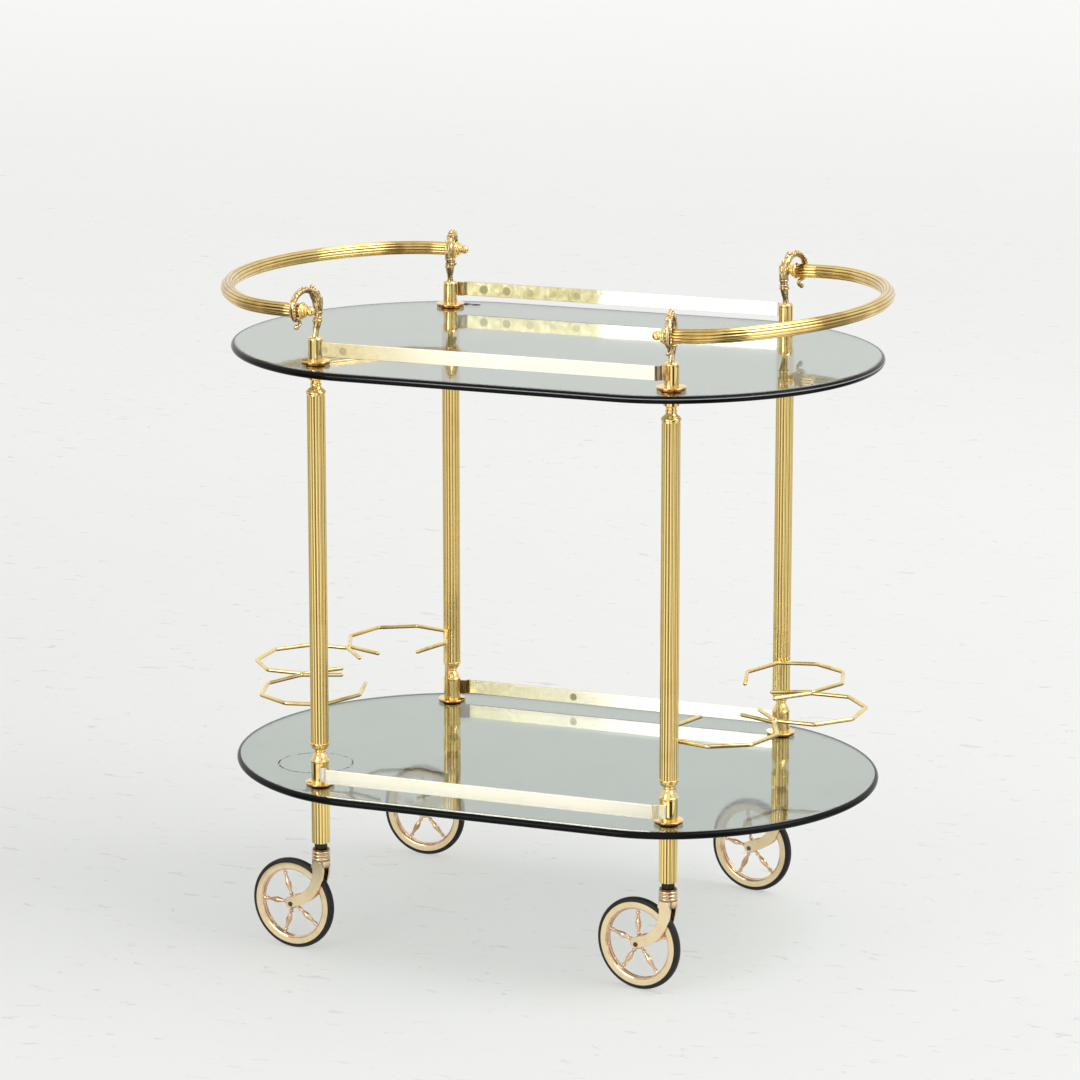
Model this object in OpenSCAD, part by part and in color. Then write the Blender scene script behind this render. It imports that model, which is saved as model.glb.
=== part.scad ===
// Two-tier oval dessert trolley: smoked glass shelves on four reeded brass posts,
// with gallery rails, two loop handles held in cast hooks, two wire bottle racks
// and four swivelling spoked casters. Millimetres, +Z up, +X along the length,
// the front faces -Y, and the origin is on the floor below the middle.

/* [Glass shelves] */
// Length of each oval shelf
glass_l = 730; // [680:5:900]
// Width of each oval shelf
glass_w = 478; // [440:2:600]
// Length of the straight stretch of each long side
glass_straight = 305; // [260:5:360]
// Radius of the tighter curve where a long side turns into an end
glass_corner_r = 172; // [150:1:185]
// Thickness of the glass
glass_t = 8; // [5:0.5:12]
// Height of the top face of the lower shelf above the floor
lower_top = 191; // [180:1:260]
// Rise from the lower shelf's top face to the upper shelf's
tier_rise = 468; // [300:2:640]

/* [Posts] */
// Distance between the posts along the length
post_dx = 404; // [360:2:480]
// Distance between the posts across the width
post_dy = 380; // [340:2:410]
// Diameter over the reeds of a column
column_d = 20; // [18:0.5:24]
// Number of reeds round a column
column_reeds = 16; // [12:1:20]
// Wall between the bottom of the grooves and the bore of a tube
tube_wall = 1.4; // [1:0.1:2]
// Diameter of the tie rod inside each post
rod_d = 6; // [4:0.5:8]
// Height of the plain part of the base turning
base_sleeve_h = 23; // [22:0.5:40]
// Diameter of the plain part of the base turning
base_sleeve_d = 19.6; // [18:0.2:22]
// Diameter of the sleeve above the top shelf
top_sleeve_d = 16; // [14:0.5:18]
// Height of the sleeve above the top shelf
top_sleeve_h = 25.5; // [25:0.5:40]
// Diameter of the flanges that clamp the glass
flange_d = 32; // [30:0.5:40]
// Thickness of the flanges
flange_t = 2.8; // [2:0.1:5]
// Thickness of the rubber gaskets
gasket_t = 1.2; // [0.8:0.1:2]
// Length of the leg stub below the lower shelf
stub_l = 56; // [40:1:80]

/* [Gallery rails] */
// Height of the flat rail bar
rail_h = 15.5; // [8:0.5:18]
// Thickness of the rail bar
rail_t = 3; // [2:0.5:4]
// How far the bar steps outward from its end tabs
rail_joggle = 5; // [0:0.5:7]
// Height of the top rails above the top flanges
rail_lift = 7.5; // [1:0.5:9]
// Height of the lower rails above the lower flanges
lower_rail_lift = 3; // [0.5:0.5:4]

/* [Handles] */
// Diameter over the reeds of the handle tube
handle_d = 15.6; // [14:0.2:16.4]
// Number of reeds round the handle tube
handle_reeds = 12; // [10:1:14]
// Reach of a handle beyond the middle of the posts
handle_reach = 164; // [140:2:220]
// Radius of the tighter bends near the hooks
handle_corner_r = 110; // [70:2:120]
// Upward tilt of the left handle in degrees
handle_tilt_left = 0; // [-2:0.5:4]
// Upward tilt of the right handle in degrees
handle_tilt_right = 2; // [-2:0.5:4]
// How far the hooks turn outward from the width direction, in degrees
hook_turn = 14; // [8:1:20]

/* [Bottle racks] */
// Diameter of the rack wire
wire_d = 4.6; // [3:0.2:5]
// Height of the wire rings above the lower shelf
rack_h = 87; // [60:1:140]
// Bend radius of the wire at the ring corners
wire_bend = 6; // [4:0.5:8]

/* [Casters] */
// Diameter of the wheel over the tyre
wheel_d = 102; // [90:1:104]
// Width of the tyre and the rim
wheel_w = 8.8; // [8:0.1:9]
// Radial thickness of the rubber tyre
tyre_t = 4.8; // [3:0.2:7]
// Radial thickness of the rim
rim_t = 8.4; // [5:0.2:9]
// Distance from the swivel axis back to the axle
caster_trail = 36; // [34:0.5:38]
// Diameter of the swivel collar
collar_d = 20.4; // [20:0.2:23]
// Thickness of a fork arm
arm_t = 2.5; // [2:0.1:3]
// Diameter of the axle pin
axle_d = 4.6; // [3:0.2:6]
// Number of spokes
spokes = 5; // [4:1:7]

/* [Hidden] */
$fn = 48;

// Left or right, front or back, for the four corners in the order fl, fr, bl, br
corner = [[-1, -1], [1, -1], [-1, 1], [1, 1]];
// Angle at which each caster stands, turned from trailing straight to the left
caster_angle = [-8, -12, -3, -12];
// First spoke of each wheel, in degrees up from +X
spoke_phase = [36, 20, 24, 28];

// Steps in each curve of a shelf's outline
arc_steps = 24;

// Clearances
seat = 0.15;
rod_play = 0.3;
spigot_play = 0.1;
running_fit = 0.05;
side_play = 0.3;
swivel_gap = 0.3;
eps = 0.01;

// Heights
upper_top = lower_top + tier_rise;
upper_under = upper_top - glass_t;
lower_under = lower_top - glass_t;
clamp_t = gasket_t + flange_t;
stub_top = lower_under - gasket_t;
stub_bottom = stub_top - stub_l;
base_z = lower_top + clamp_t;
base_rise = base_sleeve_h + 17;
column_z = base_z + base_rise - 0.6;
capital_top = upper_under - gasket_t;
capital_h = 24.5;
column_top = capital_top - capital_h;
column_l = column_top - column_z;
sleeve_z = upper_top + clamp_t;
sleeve_top = sleeve_z + top_sleeve_h;
handle_z = sleeve_top + 32.3;

// Reeded tubes: the reeds are round bars merged with a plain core
reed_depth = 0.95;
column_reed_r = column_d * 0.1;
column_bore_r = column_d / 2 - reed_depth - tube_wall;
handle_reed_r = handle_d * 0.122;
handle_bore_r = handle_d / 2 - reed_depth - tube_wall;
rod_bore_r = rod_d / 2 + rod_play;
spigot_r = column_bore_r - spigot_play;
spigot_l = 9;

// Casters
hub_half = wheel_w / 2 + side_play;
arm_in = hub_half + side_play;
arm_out = arm_in + arm_t;
axle_z = wheel_d / 2;
tyre_in = wheel_d / 2 - tyre_t;
rim_in = tyre_in - rim_t;
hub_r = 6.5;
collar_h = 14;
skirt_h = 6.6;
bush_h = 6.6;
collar_top = stub_bottom - bush_h - swivel_gap;
collar_z = collar_top - collar_h;
swivel_pin_r = 3;
swivel_depth = 13;

// Bottle rack
rack_z = lower_top + rack_h;
wire_r = wire_d / 2;
foot_off = flange_d / 2 - wire_r - 0.2;

// Handles: where the tube stands from the post axis, and where it ends
tube_out = 27;
tube_end = 4;
handle_lead = 7;
handle_y = post_dy / 2 + tube_out;

// Bent tube and wire swell by a hair in the bends, and the straights reach into them
bend_swell = 0.05;
bend_lap = 0.4;

// ---------------------------------------------------------------- helpers

// Radius of the flatter curve that closes an end of half width a and depth b,
// where the tighter curves have radius r
function end_r(a, b, r) = (a * a + b * b - 2 * a * r) / (2 * (b - r));

// Half the opening angle of that flatter curve
function end_angle(a, b, r) = atan2(a - r, end_r(a, b, r) - b);

// Angle that reaches bend_lap along a curve of radius r
function lap_angle(r) = bend_lap / r * 180 / PI;

// Moves a part to one post
module at_post(i) {
  translate([corner[i][0] * post_dx / 2, corner[i][1] * post_dy / 2, 0]) children();
}

// Section of a reeded tube
module reeded_section(d, reeds, reed_r, bore_r) {
  difference() {
    union() {
      circle(r = d / 2 - reed_r);
      for (k = [0 : reeds - 1])
        rotate(k * 360 / reeds) translate([d / 2 - reed_r, 0]) circle(r = reed_r, $fn = 24);
    }
    circle(r = bore_r);
  }
}

// A turned piece with a bore for the tie rod
module turned(profile) {
  rotate_extrude()
    difference() {
      polygon(profile);
      translate([-1, -500]) square([1 + rod_bore_r, 1000]);
    }
}

// ----------------------------------------------------------------- shelves

// Points along a curve round [cx, cy], from angle a1 to a2
function arc_points(cx, cy, r, a1, a2) = [
  for (k = [0 : arc_steps]) let (a = a1 + (a2 - a1) * k / arc_steps)
    [cx + r * cos(a), cy + r * sin(a)]
];

// The same points in the quadrant with signs sx and sy
function quadrant(points, sx, sy) = [for (p = points) [sx * p[0], sy * p[1]]];

function reversed(list) = [for (k = [len(list) - 1 : -1 : 0]) list[k]];

// Outline of a shelf: straight sides, and ends made of one wide and two tighter curves
module shelf_outline() {
  half_w = glass_w / 2;
  half_s = glass_straight / 2;
  depth = (glass_l - glass_straight) / 2;
  wide_r = end_r(half_w, depth, glass_corner_r);
  wide_a = end_angle(half_w, depth, glass_corner_r);
  wide = arc_points(glass_l / 2 - wide_r, 0, wide_r, 0, wide_a);
  tight = arc_points(half_s, half_w - glass_corner_r, glass_corner_r, wide_a, 90);
  rest = [for (k = [1 : arc_steps]) wide[k]];
  side = concat(rest, [for (k = [1 : arc_steps]) tight[k]]);
  polygon(concat([wide[0]], side, reversed(quadrant(side, -1, 1)), [-wide[0]],
                 quadrant(side, -1, -1), reversed(quadrant(side, 1, -1))));
}

// One oval shelf, its top face at z = 0
module shelf() {
  color([0.36, 0.40, 0.38, 0.6])
  translate([0, 0, -glass_t]) linear_extrude(glass_t)
    difference() {
      shelf_outline();
      for (i = [0 : 3])
        at_post(i) circle(r = rod_bore_r);
    }
}

module top_glass() { translate([0, 0, upper_top]) shelf(); }

module lower_glass() { translate([0, 0, lower_top]) shelf(); }

// ------------------------------------------------------------------- posts

// Reeded column between the base turning and the capital
module column(i) {
  color("goldenrod")
  at_post(i) translate([0, 0, column_z]) linear_extrude(column_l)
    reeded_section(column_d, column_reeds, column_reed_r, column_bore_r);
}

// Turned capital under the top shelf, hung from z = 0, with a spigot in the column
module capital(i) {
  r = column_d / 2;
  color("gold")
  at_post(i) translate([0, 0, capital_top])
    turned([
      [0, 0], [r + 0.8, 0], [r + 0.8, -1.6], [r - 0.2, -3], [r - 1.2, -5.6], [r - 1.4, -6.8],
      [r - 3.4, -8.4], [r - 4.3, -9.9], [r - 4.4, -12.6], [r - 4, -14.8], [r - 2.7, -17],
      [r - 1.6, -18.2], [r - 0.9, -18.6], [r - 0.4, -19.4], [r + 0.6, -20.4], [r + 0.95, -21.6],
      [r + 0.8, -22.8], [r + 0.2, -24], [r, -capital_h], [spigot_r, -capital_h],
      [spigot_r, -capital_h - spigot_l], [0, -capital_h - spigot_l]
    ]);
}

// Turned base above the lower shelf: sleeve, shoulder, neck and a dish for the column
module base_turning(i) {
  r = column_d / 2;
  s = base_sleeve_d / 2;
  h = base_sleeve_h;
  color("gold")
  at_post(i) translate([0, 0, base_z])
    turned([
      [0, 0], [s, 0], [s, h - 0.6], [s + 0.35, h], [s + 0.45, h + 0.8], [s + 0.1, h + 1.5],
      [s - 0.7, h + 2.2], [s - 1.5, h + 4.4], [s - 2.6, h + 6.8], [s - 3.9, h + 9],
      [s - 4.3, h + 10.6], [s - 4.1, h + 11.2], [s - 3.4, h + 11.7], [s - 3.3, h + 12.4],
      [r - 3.6, h + 13], [r - 2, h + 14.4], [r - 0.2, h + 16], [r + 0.7, h + 16.6],
      [r + 0.8, h + 17], [r + seat, h + 17], [r + seat, h + 16.4], [spigot_r, h + 16.4],
      [spigot_r, h + 16.4 + spigot_l], [0, h + 16.4 + spigot_l]
    ]);
}

// Reeded leg stub under the lower shelf
module leg_stub(i) {
  color("goldenrod")
  at_post(i) translate([0, 0, stub_bottom]) linear_extrude(stub_l)
    reeded_section(column_d, column_reeds, column_reed_r, column_bore_r);
}

// Plain sleeve above the top shelf, with a rounded shoulder
module top_sleeve(i) {
  r = top_sleeve_d / 2;
  round_r = 2.6;
  color("gold")
  at_post(i) translate([0, 0, sleeve_z])
    rotate_extrude()
      difference() {
        union() {
          square([r, top_sleeve_h - round_r]);
          square([r - round_r, top_sleeve_h]);
          translate([r - round_r, top_sleeve_h - round_r]) circle(r = round_r);
        }
        translate([-1, -1]) square([1 + rod_bore_r, top_sleeve_h + 2]);
      }
}

// Four flanges that clamp a shelf at height z, with a groove round the edge
module flanges(z) {
  color("darkgoldenrod")
  for (i = [0 : 3])
    at_post(i) translate([0, 0, z + gasket_t])
      rotate_extrude()
        difference() {
          translate([rod_bore_r, 0]) square([flange_d / 2 - rod_bore_r, flange_t]);
          translate([flange_d / 2 + 0.3, flange_t * 0.55]) circle(r = 0.8);
        }
}

// One rubber ring, standing on z = 0
module gasket_ring(d) {
  difference() {
    cylinder(d = d, h = gasket_t);
    translate([0, 0, -1]) cylinder(r = rod_bore_r, h = gasket_t + 2);
  }
}

// Gaskets above and below one shelf, whose top face is at z
module gaskets(z, under_d) {
  color("black")
  for (i = [0 : 3])
    at_post(i) {
      translate([0, 0, z]) gasket_ring(flange_d - 0.8);
      translate([0, 0, z - glass_t - gasket_t]) gasket_ring(under_d);
    }
}

// Threaded rods that pull each post together
module tie_rods() {
  rod_z = stub_bottom + spigot_l - 2;
  rod_top = sleeve_top - 9;
  color("silver")
  for (i = [0 : 3])
    at_post(i) translate([0, 0, rod_z]) cylinder(d = rod_d, h = rod_top - rod_z);
}

// Dark bushes at the feet of the stubs, with the plug above and the swivel pin below
module caster_stems() {
  bush_r = 7;
  plug_l = spigot_l + 3;
  color("dimgray")
  for (i = [0 : 3])
    at_post(i)
      difference() {
        union() {
          translate([0, 0, stub_bottom - bush_h]) cylinder(r = bush_r, h = bush_h);
          translate([0, 0, stub_bottom - eps]) cylinder(r = spigot_r, h = plug_l);
          translate([0, 0, collar_top - swivel_depth]) cylinder(
            r = swivel_pin_r, h = swivel_depth + swivel_gap + eps);
        }
        translate([0, 0, stub_bottom + spigot_l - 2 - eps]) cylinder(r = rod_bore_r, h = plug_l);
      }
}

// ------------------------------------------------------------------- rails

// Flat bar on the -Y side whose end tabs lie against sleeves of radius r
module rail(r, z) {
  tab_y = -post_dy / 2 - r - seat - rail_t;
  bar_y = tab_y - rail_joggle;
  end_x = post_dx / 2 + 1.5;
  tab_l = 13;
  step_l = 8;
  bend_x = end_x - tab_l;
  bar_x = bend_x - step_l;
  lap = rail_t * 0.35;
  color("khaki")
  translate([0, 0, z]) linear_extrude(rail_h)
    polygon([
      [-end_x, tab_y], [-bend_x - lap, tab_y], [-bar_x - lap, bar_y],
      [bar_x + lap, bar_y], [bend_x + lap, tab_y], [end_x, tab_y],
      [end_x, tab_y + rail_t], [bend_x, tab_y + rail_t], [bar_x, bar_y + rail_t],
      [-bar_x, bar_y + rail_t], [-bend_x, tab_y + rail_t], [-end_x, tab_y + rail_t]
    ]);
}

module top_rail() { rail(top_sleeve_d / 2, sleeve_z + rail_lift); }

module lower_rail() { rail(base_sleeve_d / 2, base_z + lower_rail_lift); }

// ------------------------------------------------------------------- hooks

// Centre line of a hook as [out, up, half thickness, half width], measured from
// the post axis and the top of the sleeve
tube_u = tube_out / cos(hook_turn);
tube_v = handle_z - sleeve_top;
hook_clear = handle_d / 2 + seat;
hook_line = [
  [0, 0, 3.6, 3.6], [-0.8, 4, 3.2, 3.2], [-2.5, 10.5, 3.9, 3.7], [-3.9, 17, 5, 4.6],
  [-4.7, 21, 4.3, 4.2], [-5.2, 27, 5.1, 4.7], [-5, 33, 6, 5.1], [-3.6, 39, 5.9, 5],
  [0.2, 45, 5.1, 4.6], [5.4, 49.6, 4, 3.9], [12, 51.8, 3.2, 3.3], [19.5, 52.3, 3, 3.2],
  [26.4, 50.8, 3.3, 3.3], [32.4, 47.6, 3.1, 3.5], [tube_u + hook_clear + 1.3, tube_v + 10, 2.6, 3.5],
  [tube_u + hook_clear + 2.6, tube_v + 3.5, 2.4, 3.7], [tube_u + hook_clear + 2.2, tube_v - 3, 2.4, 3.8],
  [tube_u + hook_clear - 0.8, tube_v - 8.4, 2.7, 3.2], [tube_u + 3.4, tube_v - hook_clear - 2.1, 2, 2.6],
  [tube_u - 0.6, tube_v - hook_clear - 3.2, 1.9, 2.3], [tube_u - 1.6, tube_v - hook_clear - 6.6, 1.8, 2],
  [tube_u + 1.4, tube_v - hook_clear - 9.2, 1.8, 1.9]
];
hook_ball = [tube_u + 4.4, tube_v - hook_clear - 9.6, 2.8];
hook_curl = [[4.4, 54.6, 2.6], [0.9, 52.2, 2.3], [20.4, 55.2, 1.7]];
hook_steps = 3;
hook_sides = 12;

// Smooth curve through four neighbouring values
function curve(a, b, c, d, t) =
  0.5 * (2 * b + (c - a) * t + (2 * a - 5 * b + 4 * c - d) * t * t
    + (3 * b - a - 3 * c + d) * t * t * t);

function hook_at(k) = hook_line[max(0, min(len(hook_line) - 1, k))];

// Every station of the sweep, a few between each two given points
hook_stations = [
  for (k = [0 : len(hook_line) - 2])
    for (j = [0 : hook_steps - 1])
      curve(hook_at(k - 1), hook_at(k), hook_at(k + 1), hook_at(k + 2), j / hook_steps),
  hook_at(len(hook_line) - 1)
];

// Heading of the centre line at station k
function hook_heading(k) =
  let (n = len(hook_stations) - 1,
       a = hook_stations[max(0, k - 1)],
       b = hook_stations[min(n, k + 1)])
  atan2(b[1] - a[1], b[0] - a[0]);

// Cast hook in its own plane: X points outward and Z up from the sleeve's top
module hook_form() {
  n = len(hook_stations);
  points = [
    for (k = [0 : n - 1])
      let (s = hook_stations[k], h = k == 0 ? 90 : hook_heading(k))
      for (j = [0 : hook_sides - 1])
        let (a = j * 360 / hook_sides)
        [s[0] - sin(h) * s[2] * cos(a), s[3] * sin(a), s[1] + cos(h) * s[2] * cos(a)]
  ];
  walls = [
    for (k = [0 : n - 2])
      for (j = [0 : hook_sides - 1])
        let (m = (j + 1) % hook_sides, p = k * hook_sides, q = p + hook_sides)
        each [[p + j, q + m, q + j], [p + j, p + m, q + m]]
  ];
  foot = [for (j = [hook_sides - 1 : -1 : 0]) j];
  tip = [for (j = [0 : hook_sides - 1]) (n - 1) * hook_sides + j];
  polyhedron(points, concat(walls, [foot, tip]), convexity = 6);
  translate([hook_ball[0], 0, hook_ball[1]]) sphere(r = hook_ball[2], $fn = 24);
  for (c = hook_curl)
    translate([c[0], 0, c[1]]) sphere(r = c[2], $fn = 24);
}

module handle_hook(i) {
  tenon_l = 8;
  s = corner[i];
  color("peru")
  at_post(i) translate([0, 0, sleeve_top]) {
    mirror([s[0] < 0 ? 1 : 0, 0, 0])
      mirror([0, s[1] < 0 ? 1 : 0, 0])
        rotate(90 - hook_turn) hook_form();
    translate([0, 0, -tenon_l]) cylinder(r = rod_bore_r - spigot_play, h = tenon_l + 2);
  }
}

// ----------------------------------------------------------------- handles

// Section of the handle tube, its walls thickened by extra
module handle_section(extra = 0) {
  reeded_section(handle_d + 2 * extra, handle_reeds, handle_reed_r + extra, handle_bore_r - extra);
}

// Places a handle at its tilt, side 1 is the right end and -1 the left
module handle_place(side, tilt) {
  mirror([side < 0 ? 1 : 0, 0, 0])
    translate([post_dx / 2 + tube_end, 0, handle_z]) rotate([0, -tilt, 0]) children();
}

// Handle loop from x = 0 outward: two straight ends, two tight bends, one wide one
module handle_loop() {
  depth = handle_reach - tube_end - handle_lead;
  wide_r = end_r(handle_y, depth, handle_corner_r);
  wide_a = end_angle(handle_y, depth, handle_corner_r);
  arc = 2 * (wide_a + lap_angle(wide_r));
  color("goldenrod") {
    translate([handle_lead + depth - wide_r, 0, 0])
      rotate(-arc / 2) rotate_extrude(angle = arc, $fn = 96)
        translate([wide_r, 0]) handle_section();
    for (m = [0, 1])
      mirror([0, m, 0]) {
        translate([handle_lead, handle_y - handle_corner_r, 0])
          rotate(wide_a) rotate_extrude(angle = 90 - wide_a, $fn = 96)
            translate([handle_corner_r, 0]) handle_section(bend_swell);
        translate([0, handle_y, 0]) rotate([0, 90, 0]) rotate(90)
          linear_extrude(handle_lead + bend_lap) handle_section();
      }
  }
}

// Collar and ball finial plugged into each end of a handle tube
module finials() {
  collar_r = handle_d / 2 + 1.2;
  spigot = handle_bore_r - spigot_play;
  ball_r = 5.2;
  ball_z = 9.8;
  tip_r = 1.3;
  tip_z = 15.1;
  neck_a = -28;
  crown_a = 74;
  ball = [
    for (k = [0 : 10]) let (a = neck_a + (crown_a - neck_a) * k / 10)
      [ball_r * cos(a), ball_z + ball_r * sin(a)]
  ];
  tip = [for (a = [0 : 22.5 : 67.5]) [tip_r * cos(a), tip_z + tip_r * sin(a)]];
  color("gold")
  for (m = [-1, 1])
    translate([0, m * handle_y, 0])
      rotate([0, -90, 0])
        rotate_extrude()
          polygon(concat([
            [0, -8], [spigot, -8], [spigot, 0], [collar_r - 0.5, 0], [collar_r, 0.6],
            [collar_r, 1.8], [collar_r - 0.6, 2.4], [collar_r - 2.1, 3], [collar_r - 2.2, 3.6],
            [collar_r - 1.8, 4.2], [collar_r - 1.9, 5.3], [collar_r - 3, 5.9], [4.6, 6.3], [4.5, 7.2]
          ], ball, tip, [[0, tip_z + tip_r]]));
}

// ------------------------------------------------------------------- racks

// Middle ring and the two corner rings of a rack, as open eight-cornered loops.
// Each ring is [centre x, centre y, radius x, radius y, first angle]. The middle ring
// widens with the posts, so that its corners stay beside those of the corner rings.
ring_corners = 8;
foot_corner = 5;
foot_r = wire_r - 0.2;
mid_out = 98.5;
mid_long = 56.8;
mid_first = 157.5;
side_out = 38.5;
side_in = 71;
side_long = 57.5;
side_wide = 67.5;
side_first = -94;
weld_gap = 6.2;
side_y = post_dy / 2 - side_in;
ring_step = 360 / ring_corners;
weld_y = side_y + side_wide * sin(side_first + ring_step);
mid_wide = (weld_y - weld_gap) / sin(mid_first - ring_step);
mid_ring = [post_dx / 2 + mid_out, 0, mid_long, mid_wide, mid_first];
side_ring = [post_dx / 2 + side_out, side_y, side_long, side_wide, side_first];

// Corners of a ring, turning anticlockwise for turn = 1
function ring_points(r, turn) = [
  for (k = [0 : ring_corners - 1])
    let (a = r[4] + turn * k * ring_step)
    [r[0] + r[2] * cos(a), r[1] + r[3] * sin(a)]
];

function heading(a, b) = atan2(b[1] - a[1], b[0] - a[0]);

// Turn from heading a to heading b, between -180 and 180
function turn_angle(a, b) = let (d = b - a) d > 180 ? d - 360 : d < -180 ? d + 360 : d;

// How much of a straight is taken up by the bend at inner corner k
function bend_cut(p, k) =
  k == 0 || k == len(p) - 1 ? 0
    : wire_bend * tan(abs(turn_angle(heading(p[k - 1], p[k]), heading(p[k], p[k + 1]))) / 2);

// Wire through the points p, bent to wire_bend at each inner corner, at z = 0
module bent_wire(p) {
  last = len(p) - 1;
  for (k = [0 : last - 1]) {
    start = k == 0 ? 0 : bend_cut(p, k) - bend_lap;
    end = k == last - 1 ? 0 : bend_cut(p, k + 1) - bend_lap;
    translate([p[k][0], p[k][1], 0]) rotate(heading(p[k], p[k + 1])) translate([start, 0, 0])
      rotate([0, 90, 0]) cylinder(r = wire_r, h = norm(p[k + 1] - p[k]) - start - end, $fn = 24);
  }
  for (k = [1 : last - 1]) {
    h = heading(p[k - 1], p[k]);
    turn = turn_angle(h, heading(p[k], p[k + 1]));
    translate([p[k][0], p[k][1], 0]) rotate(h)
      translate([-bend_cut(p, k), sign(turn) * wire_bend, 0])
        rotate(turn > 0 ? -90 : 90 + turn)
          rotate_extrude(angle = abs(turn), $fn = 64)
            translate([wire_bend, 0]) circle(r = wire_r + bend_swell, $fn = 24);
  }
}

// The rack at the right end; the left one is its mirror image
module rack() {
  foot = [post_dx / 2 + 1.3, post_dy / 2 - foot_off];
  side_points = ring_points(side_ring, 1);
  mid_points = ring_points(mid_ring, -1);
  loop = [for (k = [0 : ring_corners - 1]) k == foot_corner ? foot : side_points[k]];
  weld = (loop[1] + mid_points[1]) / 2;
  color("gold") {
    translate([0, 0, rack_z]) bent_wire(mid_points);
    for (m = [0, 1])
      mirror([0, m, 0]) {
        translate([0, 0, rack_z]) bent_wire(loop);
        translate([foot[0], foot[1], base_z]) cylinder(r = foot_r, h = rack_z - base_z);
        translate([weld[0], weld[1], rack_z]) sphere(r = wire_r + 1);
      }
  }
}

// ----------------------------------------------------------------- casters

// Places a caster part: origin at the swivel axis on the floor, wheel towards -X
module at_caster(i) { at_post(i) rotate(caster_angle[i]) children(); }

// Side outline of a fork arm: a crescent that sweeps back from the collar to the axle,
// with an arch at its head and a round tip
arm_outer_r = 51.3;
arm_inner_r = 33;
arm_tip_r = 6.9;
arm_head_r = 8.1;
arm_head_x = -1.2;
arm_back = 8;
arm_rise = 47;
arm_shift = 4;
arm_drop = 5;
module arm_outline() {
  back_x = -caster_trail;
  head_z = collar_z - arm_head_r + 0.2;
  intersection() {
    difference() {
      translate([back_x - arm_back, axle_z + arm_rise]) circle(r = arm_outer_r, $fn = 96);
      translate([back_x - arm_back + arm_shift, axle_z + arm_rise - arm_drop])
        circle(r = arm_inner_r, $fn = 96);
    }
    union() {
      translate([back_x, 0]) square([2 * arm_rise, head_z]);
      translate([arm_head_x, head_z]) circle(r = arm_head_r);
    }
  }
  translate([back_x, axle_z + 1.4]) circle(r = arm_tip_r);
}

// Ribbed swivel collar with its two arms and the flat-sided skirt between them
module fork(i) {
  rib_r = 1.4;
  core_r = collar_d / 2 - 0.9;
  color("rosybrown")
  at_caster(i)
    difference() {
      union() {
        translate([0, 0, collar_z]) rotate_extrude() {
          square([core_r, collar_h - 1]);
          square([core_r - 1.2, collar_h]);
          for (k = [0 : 2])
            translate([collar_d / 2 - rib_r, 2.8 + 3.9 * k]) circle(r = rib_r, $fn = 32);
        }
        intersection() {
          translate([0, 0, collar_z - skirt_h]) cylinder(d = collar_d, h = skirt_h + 0.5);
          translate([-collar_d, -arm_out, 0]) cube([2 * collar_d, 2 * arm_out, collar_top]);
        }
        for (s = [-1, 1])
          translate([0, s * (arm_in + arm_t / 2) + arm_t / 2, 0])
            rotate([90, 0, 0]) linear_extrude(arm_t) arm_outline();
      }
      translate([0, 0, collar_top - swivel_depth - swivel_gap])
        cylinder(r = swivel_pin_r + running_fit, h = swivel_depth + 1);
      translate([-caster_trail, 0, axle_z])
        rotate([90, 0, 0]) cylinder(r = axle_d / 2 + running_fit, h = 40, center = true);
    }
}

// Axle pin riveted over both arms
module axle(i) {
  head_t = 0.8;
  color("darkgoldenrod")
  at_caster(i) translate([-caster_trail, 0, axle_z]) rotate([90, 0, 0]) {
    cylinder(d = axle_d, h = 2 * arm_out, center = true);
    for (s = [-1, 1])
      translate([0, 0, s * (arm_out + head_t / 2)]) cylinder(d = axle_d + 1.2, h = head_t, center = true);
  }
}

// Turned baluster spoke along +X, from inside the hub to inside the rim
module spoke() {
  root = hub_r - 1;
  reach = rim_in + 0.6 - root;
  translate([root, 0, 0]) rotate([0, 90, 0])
    rotate_extrude($fn = 24)
      polygon([
        [0, 0], [1.6, 0], [1.3, reach * 0.1], [1.9, reach * 0.14], [1.9, reach * 0.17],
        [1.3, reach * 0.21], [1.6, reach * 0.28], [2.6, reach * 0.42], [2.7, reach * 0.5],
        [2.3, reach * 0.6], [1.4, reach * 0.76], [1.3, reach * 0.8], [1.9, reach * 0.84],
        [1.9, reach * 0.87], [1.3, reach * 0.91], [1.7, reach], [0, reach]
      ]);
}

// Wheel centre with rim, hub and spokes
module wheel(i) {
  bevel = 2.4;
  half = wheel_w / 2;
  color("tan")
  at_caster(i) translate([-caster_trail, 0, axle_z]) rotate([90, 0, 0])
    difference() {
      union() {
        rotate_extrude($fn = 96)
          polygon([
            [rim_in + bevel, -half], [tyre_in, -half], [tyre_in, half], [rim_in + bevel, half],
            [rim_in, half - bevel], [rim_in, bevel - half]
          ]);
        cylinder(r = hub_r, h = 2 * hub_half, center = true);
        for (k = [0 : spokes - 1])
          rotate(spoke_phase[i] + k * 360 / spokes) spoke();
      }
      cylinder(r = axle_d / 2 + running_fit, h = 40, center = true);
    }
}

// Rubber tyre with a rounded tread
module tyre(i) {
  r = wheel_d / 2;
  half = wheel_w / 2;
  tread_r = 3.2;
  seat_r = tyre_in + running_fit;
  color("black")
  at_caster(i) translate([-caster_trail, 0, axle_z]) rotate([90, 0, 0])
    rotate_extrude($fn = 96)
      difference() {
        union() {
          translate([0, -half]) square([r - tread_r, wheel_w]);
          translate([0, tread_r - half]) square([r, wheel_w - 2 * tread_r]);
          for (s = [-1, 1])
            translate([r - tread_r, s * (half - tread_r)]) circle(r = tread_r, $fn = 32);
        }
        translate([-1, -wheel_w]) square([1 + seat_r, 2 * wheel_w]);
      }
}

// ------------------------------------------------------------------- nodes

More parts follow.
